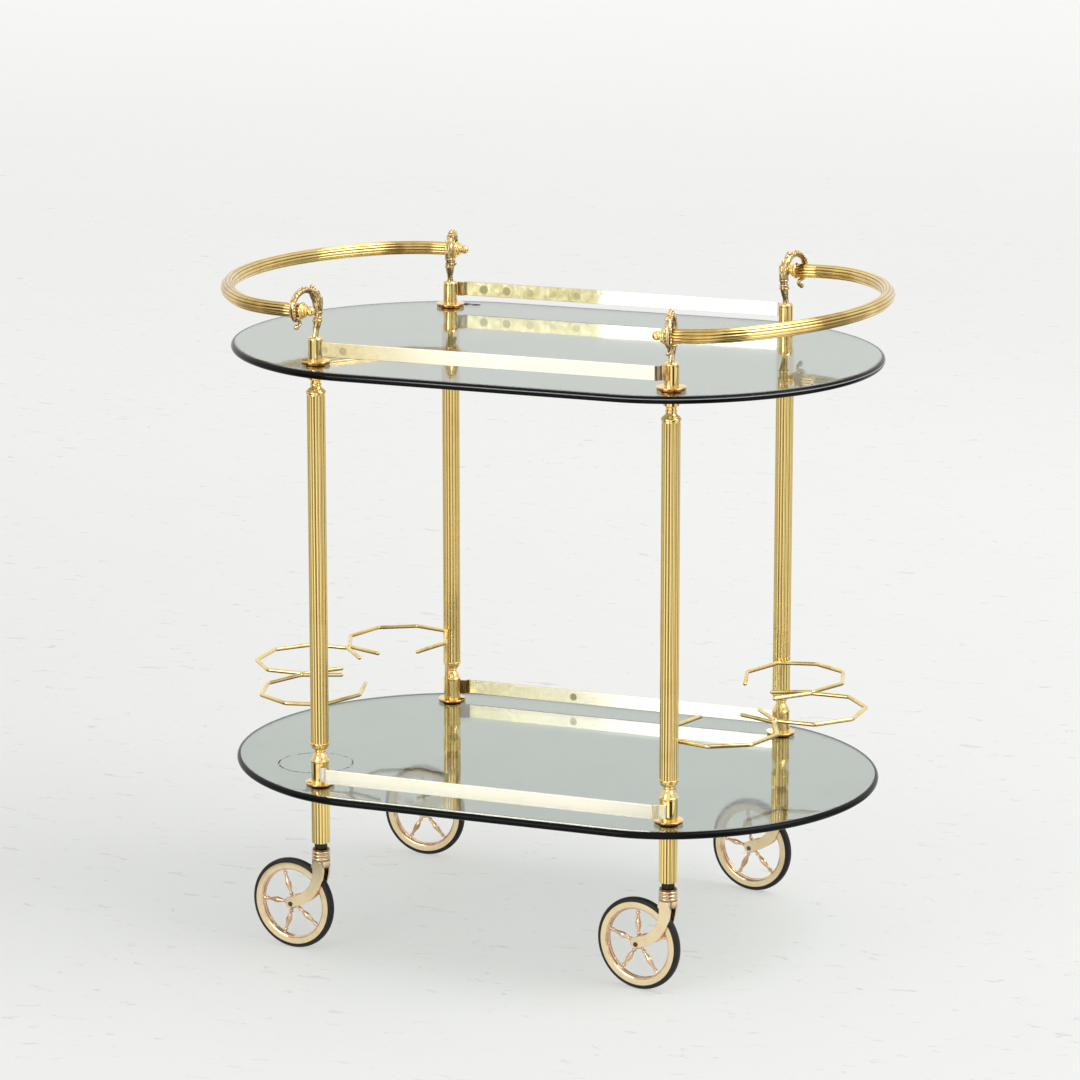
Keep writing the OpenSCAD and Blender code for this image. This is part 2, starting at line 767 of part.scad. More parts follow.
top_glass();
lower_glass();
column(0);  // column_fl
column(1);  // column_fr
column(2);  // column_bl
column(3);  // column_br
capital(0);  // capital_fl
capital(1);  // capital_fr
capital(2);  // capital_bl
capital(3);  // capital_br
base_turning(0);  // base_turning_fl
base_turning(1);  // base_turning_fr
base_turning(2);  // base_turning_bl
base_turning(3);  // base_turning_br
leg_stub(0);  // leg_stub_fl
leg_stub(1);  // leg_stub_fr
leg_stub(2);  // leg_stub_bl
leg_stub(3);  // leg_stub_br
top_sleeve(0);  // top_sleeve_fl
top_sleeve(1);  // top_sleeve_fr
top_sleeve(2);  // top_sleeve_bl
top_sleeve(3);  // top_sleeve_br
handle_hook(0);  // handle_hook_fl
handle_hook(1);  // handle_hook_fr
handle_hook(2);  // handle_hook_bl
handle_hook(3);  // handle_hook_br
flanges(upper_top);  // top_flanges
flanges(lower_top);  // lower_flanges
gaskets(upper_top, column_d);  // top_gaskets
gaskets(lower_top, column_d);  // lower_gaskets
tie_rods();
caster_stems();
top_rail();  // top_rail_front
mirror([0, 1, 0]) top_rail();  // top_rail_back
lower_rail();  // lower_rail_front
mirror([0, 1, 0]) lower_rail();  // lower_rail_back
handle_place(-1, handle_tilt_left) handle_loop();  // handle_left
handle_place(1, handle_tilt_right) handle_loop();  // handle_right
handle_place(-1, handle_tilt_left) finials();  // finials_left
handle_place(1, handle_tilt_right) finials();  // finials_right
mirror([1, 0, 0]) rack();  // bottle_rack_left
rack();  // bottle_rack_right
fork(0);  // fork_fl
fork(1);  // fork_fr
fork(2);  // fork_bl
fork(3);  // fork_br
axle(0);  // axle_fl
axle(1);  // axle_fr
axle(2);  // axle_bl
axle(3);  // axle_br
wheel(0);  // wheel_fl
wheel(1);  // wheel_fr
wheel(2);  // wheel_bl
wheel(3);  // wheel_br
tyre(0);  // tyre_fl
tyre(1);  // tyre_fr
tyre(2);  // tyre_bl
tyre(3);  // tyre_br
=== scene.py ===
# %% [markdown]
# # A brass and glass dessert trolley
# Two oval shelves of smoked glass stand on four reeded brass posts. Each post ends in a
# cast hook above and a spoked caster below. The solids and their joints are packed
# already, so this lesson dresses them: every brass, glass and rubber surface gets a
# finer shape and a finish with wear. All pieces are built in millimetres and scaled at
# the end, because a maker reads 2.8 mm more easily than 0.0028 m.

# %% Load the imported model
import bpy
import bmesh
import math
from functools import partial
from mathutils import Matrix, Vector


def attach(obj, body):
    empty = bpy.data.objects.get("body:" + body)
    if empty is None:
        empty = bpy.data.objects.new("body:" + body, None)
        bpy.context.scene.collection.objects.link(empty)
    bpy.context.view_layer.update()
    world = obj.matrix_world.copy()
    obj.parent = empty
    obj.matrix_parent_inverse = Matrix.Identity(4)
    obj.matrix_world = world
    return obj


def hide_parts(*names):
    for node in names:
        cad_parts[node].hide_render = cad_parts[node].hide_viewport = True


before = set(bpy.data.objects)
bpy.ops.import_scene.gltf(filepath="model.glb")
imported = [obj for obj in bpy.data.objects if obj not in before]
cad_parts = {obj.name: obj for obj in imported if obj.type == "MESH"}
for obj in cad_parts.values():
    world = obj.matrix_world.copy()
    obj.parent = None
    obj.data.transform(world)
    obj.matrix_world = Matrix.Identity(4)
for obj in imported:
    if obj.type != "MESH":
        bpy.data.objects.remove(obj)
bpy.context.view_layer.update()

# %% [markdown]
# ## The sizes of the trolley
# The heights stack up from the floor: caster, leg stub, lower glass, base turning,
# column, capital, upper glass, sleeve and hook. They repeat the solids' own sizes, so a
# piece lands where its solid is without any fitting by eye.

# %% Sizes in millimetres
MM = 0.001
posts = {"fl": (-1, -1), "fr": (1, -1), "bl": (-1, 1), "br": (1, 1)}
post_x, post_y = 202.0, 190.0
post_at = {key: (sx * post_x, sy * post_y) for key, (sx, sy) in posts.items()}
glass_t, lower_top, upper_top = 8.0, 191.0, 659.0
gasket_t, flange_t = 1.2, 2.8
rail_h, rail_t, top_rail_lift, low_rail_lift = 15.5, 3.0, 7.5, 3.0
sleeve_h, sleeve_r, stub_h = 25.5, 8.0, 56.0
hook_reach, hook_rise, hook_turn = 27.0, 32.3, 14
base_z = lower_top + gasket_t + flange_t
sleeve_z = upper_top + gasket_t + flange_t
sleeve_top = sleeve_z + sleeve_h
capital_top = upper_top - glass_t - gasket_t
stub_top = lower_top - glass_t - gasket_t
handle_z = sleeve_top + hook_rise
top_rail_z, low_rail_z = sleeve_z + top_rail_lift, base_z + low_rail_lift
print("post centres at", post_x, post_y, "and the handle tube at height", handle_z)

# %% [markdown]
# ## Small tools for shapes
# Most parts of this trolley were turned on a lathe, bent from tube or wire, or cut from
# flat bar. One helper per trade keeps the pieces short: a smooth curve through given
# points, a lathe, a tube along a path, a ball, and a plate cut from an outline. Each
# returns plain vertices and faces, so shapes can be added up before a piece is made.

# %% Curves through points
def curve_through(points, steps):
    """Points on a smooth curve that passes through every given point."""
    last = len(points) - 1
    out = []
    for k in range(last):
        a, b, c, d = (points[max(k - 1, 0)], points[k], points[k + 1], points[min(k + 2, last)])
        for j in range(steps):
            t = j / steps
            out.append(tuple(
                0.5 * (2 * q + (r - p) * t + (2 * p - 5 * q + 4 * r - s) * t * t
                       + (3 * q - p - 3 * r + s) * t ** 3)
                for p, q, r, s in zip(a, b, c, d)))
    out.append(tuple(points[last]))
    return out


def arc(cx, cy, r, start, end, steps):
    """Points on a circle round (cx, cy), between two angles in degrees."""
    angles = [math.radians(start + (end - start) * k / steps) for k in range(steps + 1)]
    return [(cx + r * math.cos(a), cy + r * math.sin(a)) for a in angles]


def bands(rings, sides):
    """Faces that join each ring of points to the next. A ring is given by its first point."""
    return [(low + k, low + (k + 1) % sides, high + (k + 1) % sides, high + k)
            for low, high in zip(rings, rings[1:]) for k in range(sides)]


# %% A lathe
def turn(*runs, sides=64, steps=5):
    """Turns a profile of (radius, height) about Z. Each run is a smooth curve, and corners
    lie between runs. A list starts where the last run ended; a tuple starts afresh."""
    profile = []
    for run in runs:
        joined = profile[-1:] if isinstance(run, list) else []
        run = joined + list(run)
        smooth = curve_through(run, steps) if len(run) > 2 else run
        profile += smooth[len(joined):]
    verts, rings = [], []
    for r, z in profile:
        first = len(verts)
        if r < 1e-6:
            verts.append((0, 0, z))
            rings.append([first] * sides)
            continue
        angles = [2 * math.pi * k / sides for k in range(sides)]
        verts += [(r * math.cos(a), r * math.sin(a), z) for a in angles]
        rings.append([first + k for k in range(sides)])
    faces = []
    for low, high in zip(rings, rings[1:]):
        for k in range(sides):
            m = (k + 1) % sides
            face = list(dict.fromkeys((low[k], low[m], high[m], high[k])))
            if len(face) > 2:
                faces.append(face)
    return verts, faces


def ball(x, y, z, r, sides=24):
    """A ball, turned from half a circle."""
    verts, faces = turn(arc(0, 0, r, -90, 90, sides // 2), sides=sides, steps=1)
    return shifted((verts, faces), x, y, z)


# %% Moving and adding shapes
def shifted(part, x, y, z):
    return [(a + x, b + y, c + z) for a, b, c in part[0]], part[1]


def moved(part, matrix):
    return [tuple(matrix @ Vector(v)) for v in part[0]], part[1]


def rotated(degrees, axis):
    return Matrix.Rotation(math.radians(degrees), 4, axis)


def added(*parts):
    verts, faces = [], []
    for part_verts, part_faces in parts:
        start = len(verts)
        verts += part_verts
        faces += [[start + k for k in face] for face in part_faces]
    return verts, faces


# %% A tube along a path
def tube_along(path, radius, sides=20, dome=4):
    """A round bar along the path, with domed ends."""
    points = [Vector(p) for p in path]
    last = len(points) - 1
    heading = [(points[min(k + 1, last)] - points[max(k - 1, 0)]).normalized()
               for k in range(last + 1)]
    side = heading[0].orthogonal().normalized()
    verts, faces, rings = [], [], []

    def ring(centre, direction, r):
        nonlocal side
        side = (side - direction * side.dot(direction)).normalized()
        across = direction.cross(side)
        rings.append(len(verts))
        for k in range(sides):
            a = 2 * math.pi * k / sides
            verts.append(tuple(centre + (side * math.cos(a) + across * math.sin(a)) * r))

    for k in range(1, dome + 1):
        a = math.radians(90 * k / (dome + 1))
        ring(points[0] - heading[0] * radius * math.cos(a), heading[0], radius * math.sin(a))
    for point, direction in zip(points, heading):
        ring(point, direction, radius)
    for k in range(dome, 0, -1):
        a = math.radians(90 * k / (dome + 1))
        ring(points[last] + heading[last] * radius * math.cos(a), heading[last],
             radius * math.sin(a))
    faces += bands(rings, sides)
    verts += [tuple(points[0] - heading[0] * radius), tuple(points[last] + heading[last] * radius)]
    tail, tip = len(verts) - 2, len(verts) - 1
    for k in range(sides):
        m = (k + 1) % sides
        faces += [(tail, rings[0] + m, rings[0] + k), (tip, rings[-1] + k, rings[-1] + m)]
    return verts, faces


# %% A plate cut from an outline
def plate(outline, low, high):
    """An outline of (x, y) given a thickness along Z."""
    n = len(outline)
    verts = [(x, y, low) for x, y in outline] + [(x, y, high) for x, y in outline]
    faces = [[k, (k + 1) % n, n + (k + 1) % n, n + k] for k in range(n)]
    return verts, faces + [list(range(n - 1, -1, -1)), list(range(n, 2 * n))]


# %% Making the piece
def in_scene(name, data):
    """A new object for the data, linked into the scene."""
    item = bpy.data.objects.new(name, data)
    bpy.context.scene.collection.objects.link(item)
    return item


def mesh_of(name, verts, edges=(), faces=()):
    """A mesh in metres, from vertices in millimetres."""
    mesh = bpy.data.meshes.new(name)
    mesh.from_pydata([tuple(c * MM for c in v) for v in verts], edges, faces)
    return mesh


def make_piece(name, part, *materials, soft_angle=35, bevel=0.0, bevel_finish=-1):
    """Turns vertices in millimetres into an object in metres, its faces pointing out."""
    mesh = mesh_of(name, part[0], faces=part[1])
    finish_mesh(mesh, soft_angle)
    for material in materials:
        mesh.materials.append(material)
    piece = in_scene(name, mesh)
    if bevel:
        edge = piece.modifiers.new("rounded edges", "BEVEL")
        edge.width = bevel * MM
        edge.segments = 3
        edge.limit_method = "ANGLE"
        edge.angle_limit = math.radians(40)
        edge.harden_normals = True
        edge.material = bevel_finish
    return piece


def finish_mesh(mesh, soft_angle):
    """Merges doubles, points the faces outwards and shades all but the sharp edges smoothly."""
    shape = bmesh.new()
    shape.from_mesh(mesh)
    bmesh.ops.remove_doubles(shape, verts=shape.verts, dist=1e-6)
    bmesh.ops.recalc_face_normals(shape, faces=shape.faces)
    shape.to_mesh(mesh)
    shape.free()
    mesh.polygons.foreach_set("use_smooth", [True] * len(mesh.polygons))
    mesh.set_sharp_from_angle(angle=math.radians(soft_angle))


def shade_below(piece):
    """Stores how far each point faces down, for a painted shade on the underside."""
    points = piece.data.vertices
    below = piece.data.attributes.new("groove", "FLOAT", "POINT")
    below.data.foreach_set("value", [min(1.0, max(0.0, (0.15 - p.normal.z) / 0.5)) for p in points])


def place(piece, body, slot, *nodes):
    """The piece rides its body and stands for its solids, which it hides; the slot is not used."""
    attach(piece, body)
    if nodes:
        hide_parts(*nodes)
    return piece


# %% [markdown]
# ## Small tools for nodes
# Materials and Geometry Nodes are both trees of nodes. One helper adds a node, sets its
# options and fills its inputs, with a plain value or with a link to another node's output.

# %% Adding nodes
def feed(tree, socket, value):
    """Links a socket to another node's output, or sets its plain value."""
    if isinstance(value, bpy.types.NodeSocket):
        tree.links.new(value, socket)
    else:
        socket.default_value = value


def add(tree, kind, inputs=None, **options):
    """A new node, with its options set and its inputs fed."""
    item = tree.nodes.new(kind)
    for key, value in options.items():
        setattr(item, key, value)
    for key, value in (inputs or {}).items():
        feed(tree, item.inputs[key], value)
    return item


def calc(tree, operation, a, b=0.0, c=0.0, clamp=False):
    """One Math node, and its output."""
    item = add(tree, "ShaderNodeMath", {0: a, 1: b, 2: c}, operation=operation, use_clamp=clamp)
    return item.outputs[0]


def ramp(tree, value, low, high, to_low=0.0, to_high=1.0):
    """A smooth step of a value from one range to another."""
    return add(tree, "ShaderNodeMapRange",
               {"Value": value, "From Min": low, "From Max": high,
                "To Min": to_low, "To Max": to_high},
               interpolation_type="SMOOTHSTEP").outputs["Result"]


def blend_colour(tree, factor, a, b, mode="MIX"):
    """A Mix node for two colours, and its output."""
    return add(tree, "ShaderNodeMix", {0: factor, 6: a, 7: b},
               data_type="RGBA", blend_type=mode).outputs[2]


def noise(tree, where, scale, detail, **more):
    """The value of a noise pattern."""
    return add(tree, "ShaderNodeTexNoise",
               {"Vector": where, "Scale": scale, "Detail": detail, **more}).outputs["Fac"]


def axes_of(tree, vector):
    """The three numbers of a vector."""
    return add(tree, "ShaderNodeSeparateXYZ", {0: vector}).outputs


def length_of(tree, vector):
    """How long a vector is."""
    return add(tree, "ShaderNodeVectorMath", {0: vector}, operation="LENGTH").outputs["Value"]


def away_from(tree, axes, spot):
    """The distance from a spot, given as {axis: millimetres}; other axes don't count."""
    gap = {axis: calc(tree, "SUBTRACT", axes[axis], at * MM) for axis, at in spot.items()}
    return length_of(tree, add(tree, "ShaderNodeCombineXYZ", gap).outputs[0])


def new_group(name, kind, ins, outs):
    """An empty node group with named inputs and outputs, and its two end nodes."""
    tree = bpy.data.node_groups.new(name, kind)
    for label, socket_type, value in ins:
        socket = tree.interface.new_socket(label, in_out="INPUT", socket_type=socket_type)
        if value is not None:
            socket.default_value = value
    for label, socket_type in outs:
        tree.interface.new_socket(label, in_out="OUTPUT", socket_type=socket_type)
    return tree, tree.nodes.new("NodeGroupInput"), tree.nodes.new("NodeGroupOutput")

# %% Starting and ending a material
def blank(name):
    """A new material, its empty tree, and the object's own coordinates in it."""
    material = bpy.data.materials.new(name)
    material.use_nodes = True
    tree = material.node_tree
    tree.nodes.clear()
    return material, tree, add(tree, "ShaderNodeTexCoord").outputs["Object"]


def bumped(tree, height, distance):
    """A surface direction that follows a height map, as deep as distance in metres."""
    return add(tree, "ShaderNodeBump", {"Height": height, "Distance": distance}).outputs["Normal"]


def surfaced(material, inputs):
    """Ends a material in one Principled surface."""
    tree = material.node_tree
    surface = add(tree, "ShaderNodeBsdfPrincipled", inputs)
    end = add(tree, "ShaderNodeOutputMaterial")
    tree.links.new(surface.outputs[0], end.inputs["Surface"])
    return material


# %% [markdown]
# ## Finishes that several metals share
# Old brass isn't one colour. It darkens in drifts where nobody rubs it, stays bright
# where hands and cloths reach, and carries hair-fine scratches that only show in its
# gloss. A node group makes these as masks once, and each metal sets its own strength.

# %% Drifts of tarnish
FLOAT, VECTOR = "NodeSocketFloat", "NodeSocketVector"

drifts, d_in, d_out = new_group(
    "tarnish drifts", "ShaderNodeTree",
    [("Vector", VECTOR, None), ("Scale", FLOAT, 40.0), ("Cover", FLOAT, 0.5),
     ("Softness", FLOAT, 0.2)],
    [("Mask", FLOAT)])
cloud = noise(drifts, d_in.outputs["Vector"], d_in.outputs["Scale"], 6.0, Roughness=0.6)
level = calc(drifts, "SUBTRACT", 1.0, d_in.outputs["Cover"])
drift_mask = ramp(drifts, cloud, calc(drifts, "SUBTRACT", level, d_in.outputs["Softness"]),
                  calc(drifts, "ADD", level, d_in.outputs["Softness"]))
drifts.links.new(drift_mask, d_out.inputs["Mask"])
print("group:", drifts.name)

# %% Hair scratches
scratches, s_in, s_out = new_group(
    "hair scratches", "ShaderNodeTree",
    [("Vector", VECTOR, None), ("Scale", FLOAT, 300.0), ("Stretch", VECTOR, (1.0, 1.0, 0.06))],
    [("Mask", FLOAT)])
stretched = add(scratches, "ShaderNodeVectorMath",
                {0: s_in.outputs["Vector"], 1: s_in.outputs["Stretch"]}, operation="MULTIPLY")
hairs = noise(scratches, stretched.outputs[0], s_in.outputs["Scale"], 3.0,
              Roughness=0.7, Distortion=0.4)
scratches.links.new(ramp(scratches, hairs, 0.5, 0.72), s_out.inputs["Mask"])
print("group:", scratches.name)


# %% Using a shared mask
def shared(tree, group, where, **values):
    """The mask of a shared group, with values for its inputs."""
    return add(tree, "ShaderNodeGroup", {"Vector": where, **values},
               node_tree=group).outputs["Mask"]


# %% [markdown]
# ## The metals
# One function writes every metal: a bright and a dark colour, mixed by the drifts and by a
# painted shade that reeded bars and downward faces carry, with scratches in the gloss. The
# colours and the roughness tell polished tube, satin plate and rough casting apart.

# %% A metal finish
# The first colour is a painted shade for reed valleys and undersides; the second is dirt in a
# casting's pits.
GROOVE_SHADE, PIT_DIRT = (0.16, 0.075, 0.02, 1), (0.10, 0.05, 0.015, 1)


def metal(name, bright, dark, rough, cover=0.45, drift_scale=40.0, stretch=(1, 1, 0.06),
          scratch=0.08, bump=0.00002, groove=0.0, pits=0.0):
    """A metal with tarnish, scratches, painted shade in valleys and on undersides, and, for
    castings, pits.
    """
    material, tree, where = blank(name)
    do = partial(calc, tree)
    mask = shared(tree, drifts, where, Scale=drift_scale, Cover=cover)
    hair = shared(tree, scratches, where, Stretch=stretch)
    colour = blend_colour(tree, mask, (*bright, 1), (*dark, 1))
    # Painted shade: a dark brown laid where the stored shade attribute is high, in reed valleys and
    # on faces turned down.
    if groove:
        deep = add(tree, "ShaderNodeAttribute", attribute_name="groove").outputs["Fac"]
        shade = do("MULTIPLY", do("POWER", deep, 1.6), groove)
        colour = blend_colour(tree, shade, colour, GROOVE_SHADE)
    height = hair
    if pits:
        grain = add(tree, "ShaderNodeTexVoronoi",
                    {"Vector": where, "Scale": 700.0}, feature="SMOOTH_F1").outputs["Distance"]
        lumps = noise(tree, where, 260.0, 4.0)
        height = do("ADD", do("MULTIPLY", grain, 0.8), lumps)
        hollow = ramp(tree, lumps, 0.62, 0.42)
        colour = blend_colour(tree, do("MULTIPLY", hollow, pits), colour, PIT_DIRT)
    gloss = do("MULTIPLY_ADD", hair, scratch,
               do("MULTIPLY_ADD", mask, rough * 0.6, rough), clamp=True)
    return surfaced(material, {"Base Color": colour, "Metallic": 1.0, "Roughness": gloss,
                               "Normal": bumped(tree, height, bump)})


# %% The brasses of this trolley
SMOOTH = 0.000004   # metres of relief on drawn and turned brass
# Where a brass gets a shade strength, it carries painted shade in reed valleys and on faces turned
# down.
tube_brass = metal("reeded tube brass", (1.0, 0.77, 0.31), (0.84, 0.55, 0.17), 0.06,
                   cover=0.3, drift_scale=25.0, scratch=0.03, bump=SMOOTH, groove=0.95)
handle_brass = metal("handle tube brass", (0.97, 0.73, 0.28), (0.44, 0.25, 0.06), 0.06,
                     drift_scale=11.0, scratch=0.04, bump=SMOOTH, groove=0.85)
turned_brass = metal("turned polished brass", (0.98, 0.72, 0.30), (0.66, 0.38, 0.11), 0.03,
                     cover=0.38, stretch=(0.06, 0.06, 1), scratch=0.03, bump=SMOOTH)
cast_brass = metal("cast hook brass", (0.99, 0.75, 0.38), (0.66, 0.39, 0.14), 0.08,
                   cover=0.36, drift_scale=140.0, bump=0.0001, groove=0.55, pits=0.5)
wire_brass = metal("bent wire brass", (0.97, 0.74, 0.33), (0.60, 0.36, 0.11), 0.07,
                   cover=0.38, stretch=(1, 1, 1), scratch=0.04, bump=SMOOTH, groove=0.8)
plate_brass = metal("satin caster brass", (0.95, 0.78, 0.50), (0.84, 0.65, 0.38), 0.2,
                    cover=0.4, stretch=(1, 1, 0.3), scratch=0.05, bump=0.000003)
collar_brass = metal("ribbed collar brass", (0.95, 0.74, 0.50), (0.56, 0.35, 0.18), 0.04,
                     cover=0.4, scratch=0.03, bump=SMOOTH, groove=0.7)
spoke_brass = metal("turned spoke bronze", (0.86, 0.63, 0.42), (0.40, 0.22, 0.12), 0.04,
                    cover=0.42, scratch=0.03, bump=SMOOTH)
axle_brass = metal("dark axle brass", (0.28, 0.22, 0.10), (0.10, 0.07, 0.04), 0.30, cover=0.6)
bush_metal = metal("dark bush metal", (0.07, 0.05, 0.04), (0.03, 0.025, 0.02), 0.4)
rod_steel = metal("threaded rod steel", (0.45, 0.45, 0.44), (0.25, 0.24, 0.22), 0.35)
brown_brass = metal("brown foot brass", (0.62, 0.28, 0.08), (0.30, 0.12, 0.03), 0.16)
flare_brass = metal("dark flare brass", (0.34, 0.18, 0.09), (0.15, 0.07, 0.03), 0.12)
print("brasses made:", len([m for m in bpy.data.materials if "brass" in m.name]))

# %% [markdown]
# ## The gallery rails' brass
# The rails are paler than the posts, almost white under the studio light, because their
# satin face mirrors the floor. Three of them turn gold towards their left ends, partly
# tarnish and partly a painted reflection of the darker room; some carry round tarnish
# spots, and the bends beside the end tabs carry a painted shade. All of it follows the
# length of the rail, so the object's own X places it.

# %% Rail brass
PALE, GOLD = (0.98, 0.95, 0.80), (0.80, 0.68, 0.36)
# The second colour is a painted shade for the bends beside the end tabs.
AMBER, BEND_SHADE = (0.70, 0.46, 0.16), (0.27, 0.17, 0.06)
TAB_DULL, TAB_REACH = 0.6, 9.5   # roughness of the rails' ends, and their length in mm
PALE_TONE = 0.3                  # more blue than this makes a tab pale, with faint streaks


def rail_metal(name, gold_from=None, fade=1.0, gold=GOLD, spots=(), steps=(), tabs=()):
    """Pale satin brass, gold to the left of gold_from, with marks at lengths in mm."""
    material = metal(name, PALE, (0.95, 0.90, 0.70), 0.22, cover=0.3, drift_scale=14.0,
                     stretch=(0.04, 1, 1), scratch=0.05, bump=SMOOTH)
    tree = material.node_tree
    do = partial(calc, tree)
    surface = next(n for n in tree.nodes if n.type == "BSDF_PRINCIPLED")
    colour, rough = (surface.inputs[label].links[0].from_socket
                     for label in ("Base Color", "Roughness"))
    where = add(tree, "ShaderNodeTexCoord").outputs["Object"]
    axes = axes_of(tree, where)
    mottle = noise(tree, where, 180.0, 5.0)
    # Gold towards the left end: partly tarnish, partly a painted reflection of the darker room
    # mirrored there.
    if gold_from is not None:
        ragged = do("MULTIPLY_ADD", do("SUBTRACT", mottle, 0.5), 0.03, axes["X"])
        reach = ramp(tree, ragged, (gold_from + fade / 2) * MM, (gold_from - fade / 2) * MM)
        wear_and_reflection = do("MULTIPLY", reach, do("MULTIPLY_ADD", mottle, 0.8, 0.45))
        colour = blend_colour(tree, wear_and_reflection, colour, (*gold, 1))
    for x, z, size, strength in spots:
        mark = ramp(tree, away_from(tree, axes, {0: x, 2: z}), size * 0.5 * MM, size * 0.38 * MM)
        colour = blend_colour(tree, do("MULTIPLY", mark, strength), colour,
                              (*(c * 0.5 for c in gold), 1))
    fine = add(tree, "ShaderNodeVectorMath", {0: where, 1: (1, 1, 0.12)}, operation="MULTIPLY")
    streak = ramp(tree, noise(tree, fine.outputs[0], 620.0, 2.0), 0.44, 0.56)
    for way, (tone, start) in zip((-1, 1), tabs):
        along = do("MULTIPLY", axes["X"], way)
        ends = ramp(tree, along, (start - 0.8) * MM, (start + 0.8) * MM)
        inside = ramp(tree, along, (start + TAB_REACH + 0.5) * MM, (start + TAB_REACH - 0.5) * MM)
        rough = do("MAXIMUM", rough, do("MULTIPLY", do("MULTIPLY", ends, inside), TAB_DULL))
        dim = 0.85 if tone[2] > PALE_TONE else 0.4
        lined = blend_colour(tree, streak, (*tone, 1), (*(c * dim for c in tone), 1))
        colour = blend_colour(tree, ends, colour, lined)
    # Each step paints shade across a bend beside a tab: its x, its width in mm and its colour.
    for x, size, tone in steps:
        away = do("ABSOLUTE", do("SUBTRACT", axes["X"], x * MM))
        mark = ramp(tree, away, (size + 1) / 2 * MM, (size - 1) / 2 * MM)
        painted_bend_shade = do("MULTIPLY", mark, do("MULTIPLY_ADD", streak, 0.25, 0.75))
        colour = blend_colour(tree, painted_bend_shade, colour, (*tone, 1))
    tree.links.new(rough, surface.inputs["Roughness"])
    tree.links.new(colour, surface.inputs["Base Color"])
    return material


# A spot is its x, its drop below the middle of the bar, its size and its strength.
top_middle, low_middle = top_rail_z + rail_h / 2, low_rail_z + rail_h / 2
front_spots = ((-184, 0.5, 8, 0.4), (-163, 0.6, 9.6, 0.6))
back_spots = ((-166, 0.3, 11.5, 0.85), (-138, 0.4, 11.0, 0.8), (-109.5, 0.6, 10.0, 0.55),
              (-81, 0.8, 9.5, 0.3), (-52.5, 1.0, 10.5, 0.45))


def hung(spots, middle):
    """Spots with their height in place of their drop."""
    return [(x, middle - drop, size, strength) for x, drop, size, strength in spots]


rail_finish = {
    "top_rail_front": rail_metal(
        "front top rail brass", -95, 170, (0.68, 0.56, 0.27), hung(front_spots, top_middle),
        [(192.5, 7.0, BEND_SHADE)], (((0.62, 0.49, 0.21), 187), (AMBER, 196))),
    "top_rail_back": rail_metal(
        "back top rail brass", -24, 10, (0.42, 0.37, 0.17), hung(back_spots, top_middle),
        [(-196.5, 4.5, BEND_SHADE)], (((0.74, 0.55, 0.22), 188), (PALE, 187))),
    "lower_rail_front": rail_metal(
        "front lower rail brass", tabs=((PALE, 187), ((0.96, 0.88, 0.62), 188))),
    "lower_rail_back": rail_metal(
        "back lower rail brass", -70, 260, (0.50, 0.44, 0.22),
        hung([(-56, 0, 9.5, 0.85)], low_middle), tabs=(((0.36, 0.24, 0.08), 186), (PALE, 187)))}
print("rail finishes:", len(rail_finish))

# %% [markdown]
# ## Smoked glass
# The shelves are toughened glass with a grey-green smoke. Seen flat they are pale,
# because the glass mirrors the bright room; their rounded rim is almost black, because
# light travels a long way inside it and the rim mirrors the dark room. So the rim is
# painted nearly black, a painted shade, with a painted highlight line along the upper
# shelf. Smudges and a ring left by a bottle live in the gloss and in the colour.

# %% Glass finishes
# A mark is its x, y, lowest and highest z, radius, half its band, how broken it is, and colour.
SOOT = (0.004, 0.003, 0.002)
GLASS_MARKS = ((-242, -112, 186, 195, 41, 1.5, 0.44, (0.02, 0.02, 0.02)),
               (-192, 207, 655, 662, 0, 11.0, 0.25, SOOT),
               (-178, 208, 655, 662, 0, 8.0, 0.30, SOOT),
               (-216, 196, 655, 662, 0, 4.0, 0.35, SOOT))


def smoked_glass():
    """Clear grey-green glass with smears, hair scratches, specks and the marks above."""
    material, tree, where = blank("smoked glass")
    do = partial(calc, tree)
    smear = shared(tree, drifts, where, Scale=9.0, Cover=0.42)
    hair = shared(tree, scratches, where, Scale=220.0, Stretch=(0.2, 1, 1))
    colour = blend_colour(tree, smear, (0.455, 0.51, 0.475, 1), (0.425, 0.485, 0.45, 1))
    axes = axes_of(tree, where)
    grain = noise(tree, where, 240.0, 3.0)
    dirt = 0.0
    for x, y, low, high, radius, band, bite, tone in GLASS_MARKS:
        off = do("ABSOLUTE", do("SUBTRACT", away_from(tree, axes, {0: x, 1: y}), radius * MM))
        mark = ramp(tree, off, band * MM, band * 0.4 * MM)
        level = do("MULTIPLY", do("GREATER_THAN", axes["Z"], low * MM),
                   do("LESS_THAN", axes["Z"], high * MM))
        mark = do("MULTIPLY", do("MULTIPLY", mark, level), ramp(tree, grain, bite, bite + 0.12))
        colour = blend_colour(tree, mark, colour, (*tone, 1))
        dirt = do("MAXIMUM", mark, dirt)
    speck = ramp(tree, noise(tree, where, 150.0, 4.0, Roughness=0.7), 0.69, 0.75)
    colour = blend_colour(tree, do("MULTIPLY", speck, 0.8), colour, (0.06, 0.065, 0.06, 1))
    gloss = do("MULTIPLY_ADD", hair, 0.03, do("MULTIPLY_ADD", smear, 0.02, 0.01))
    gloss = do("MAXIMUM", gloss, do("MULTIPLY", dirt, 0.7))
    return surfaced(material, {"Base Color": colour, "Roughness": gloss, "IOR": 1.5,
                               "Transmission Weight": 1.0,
                               "Normal": bumped(tree, hair, 0.000004)})


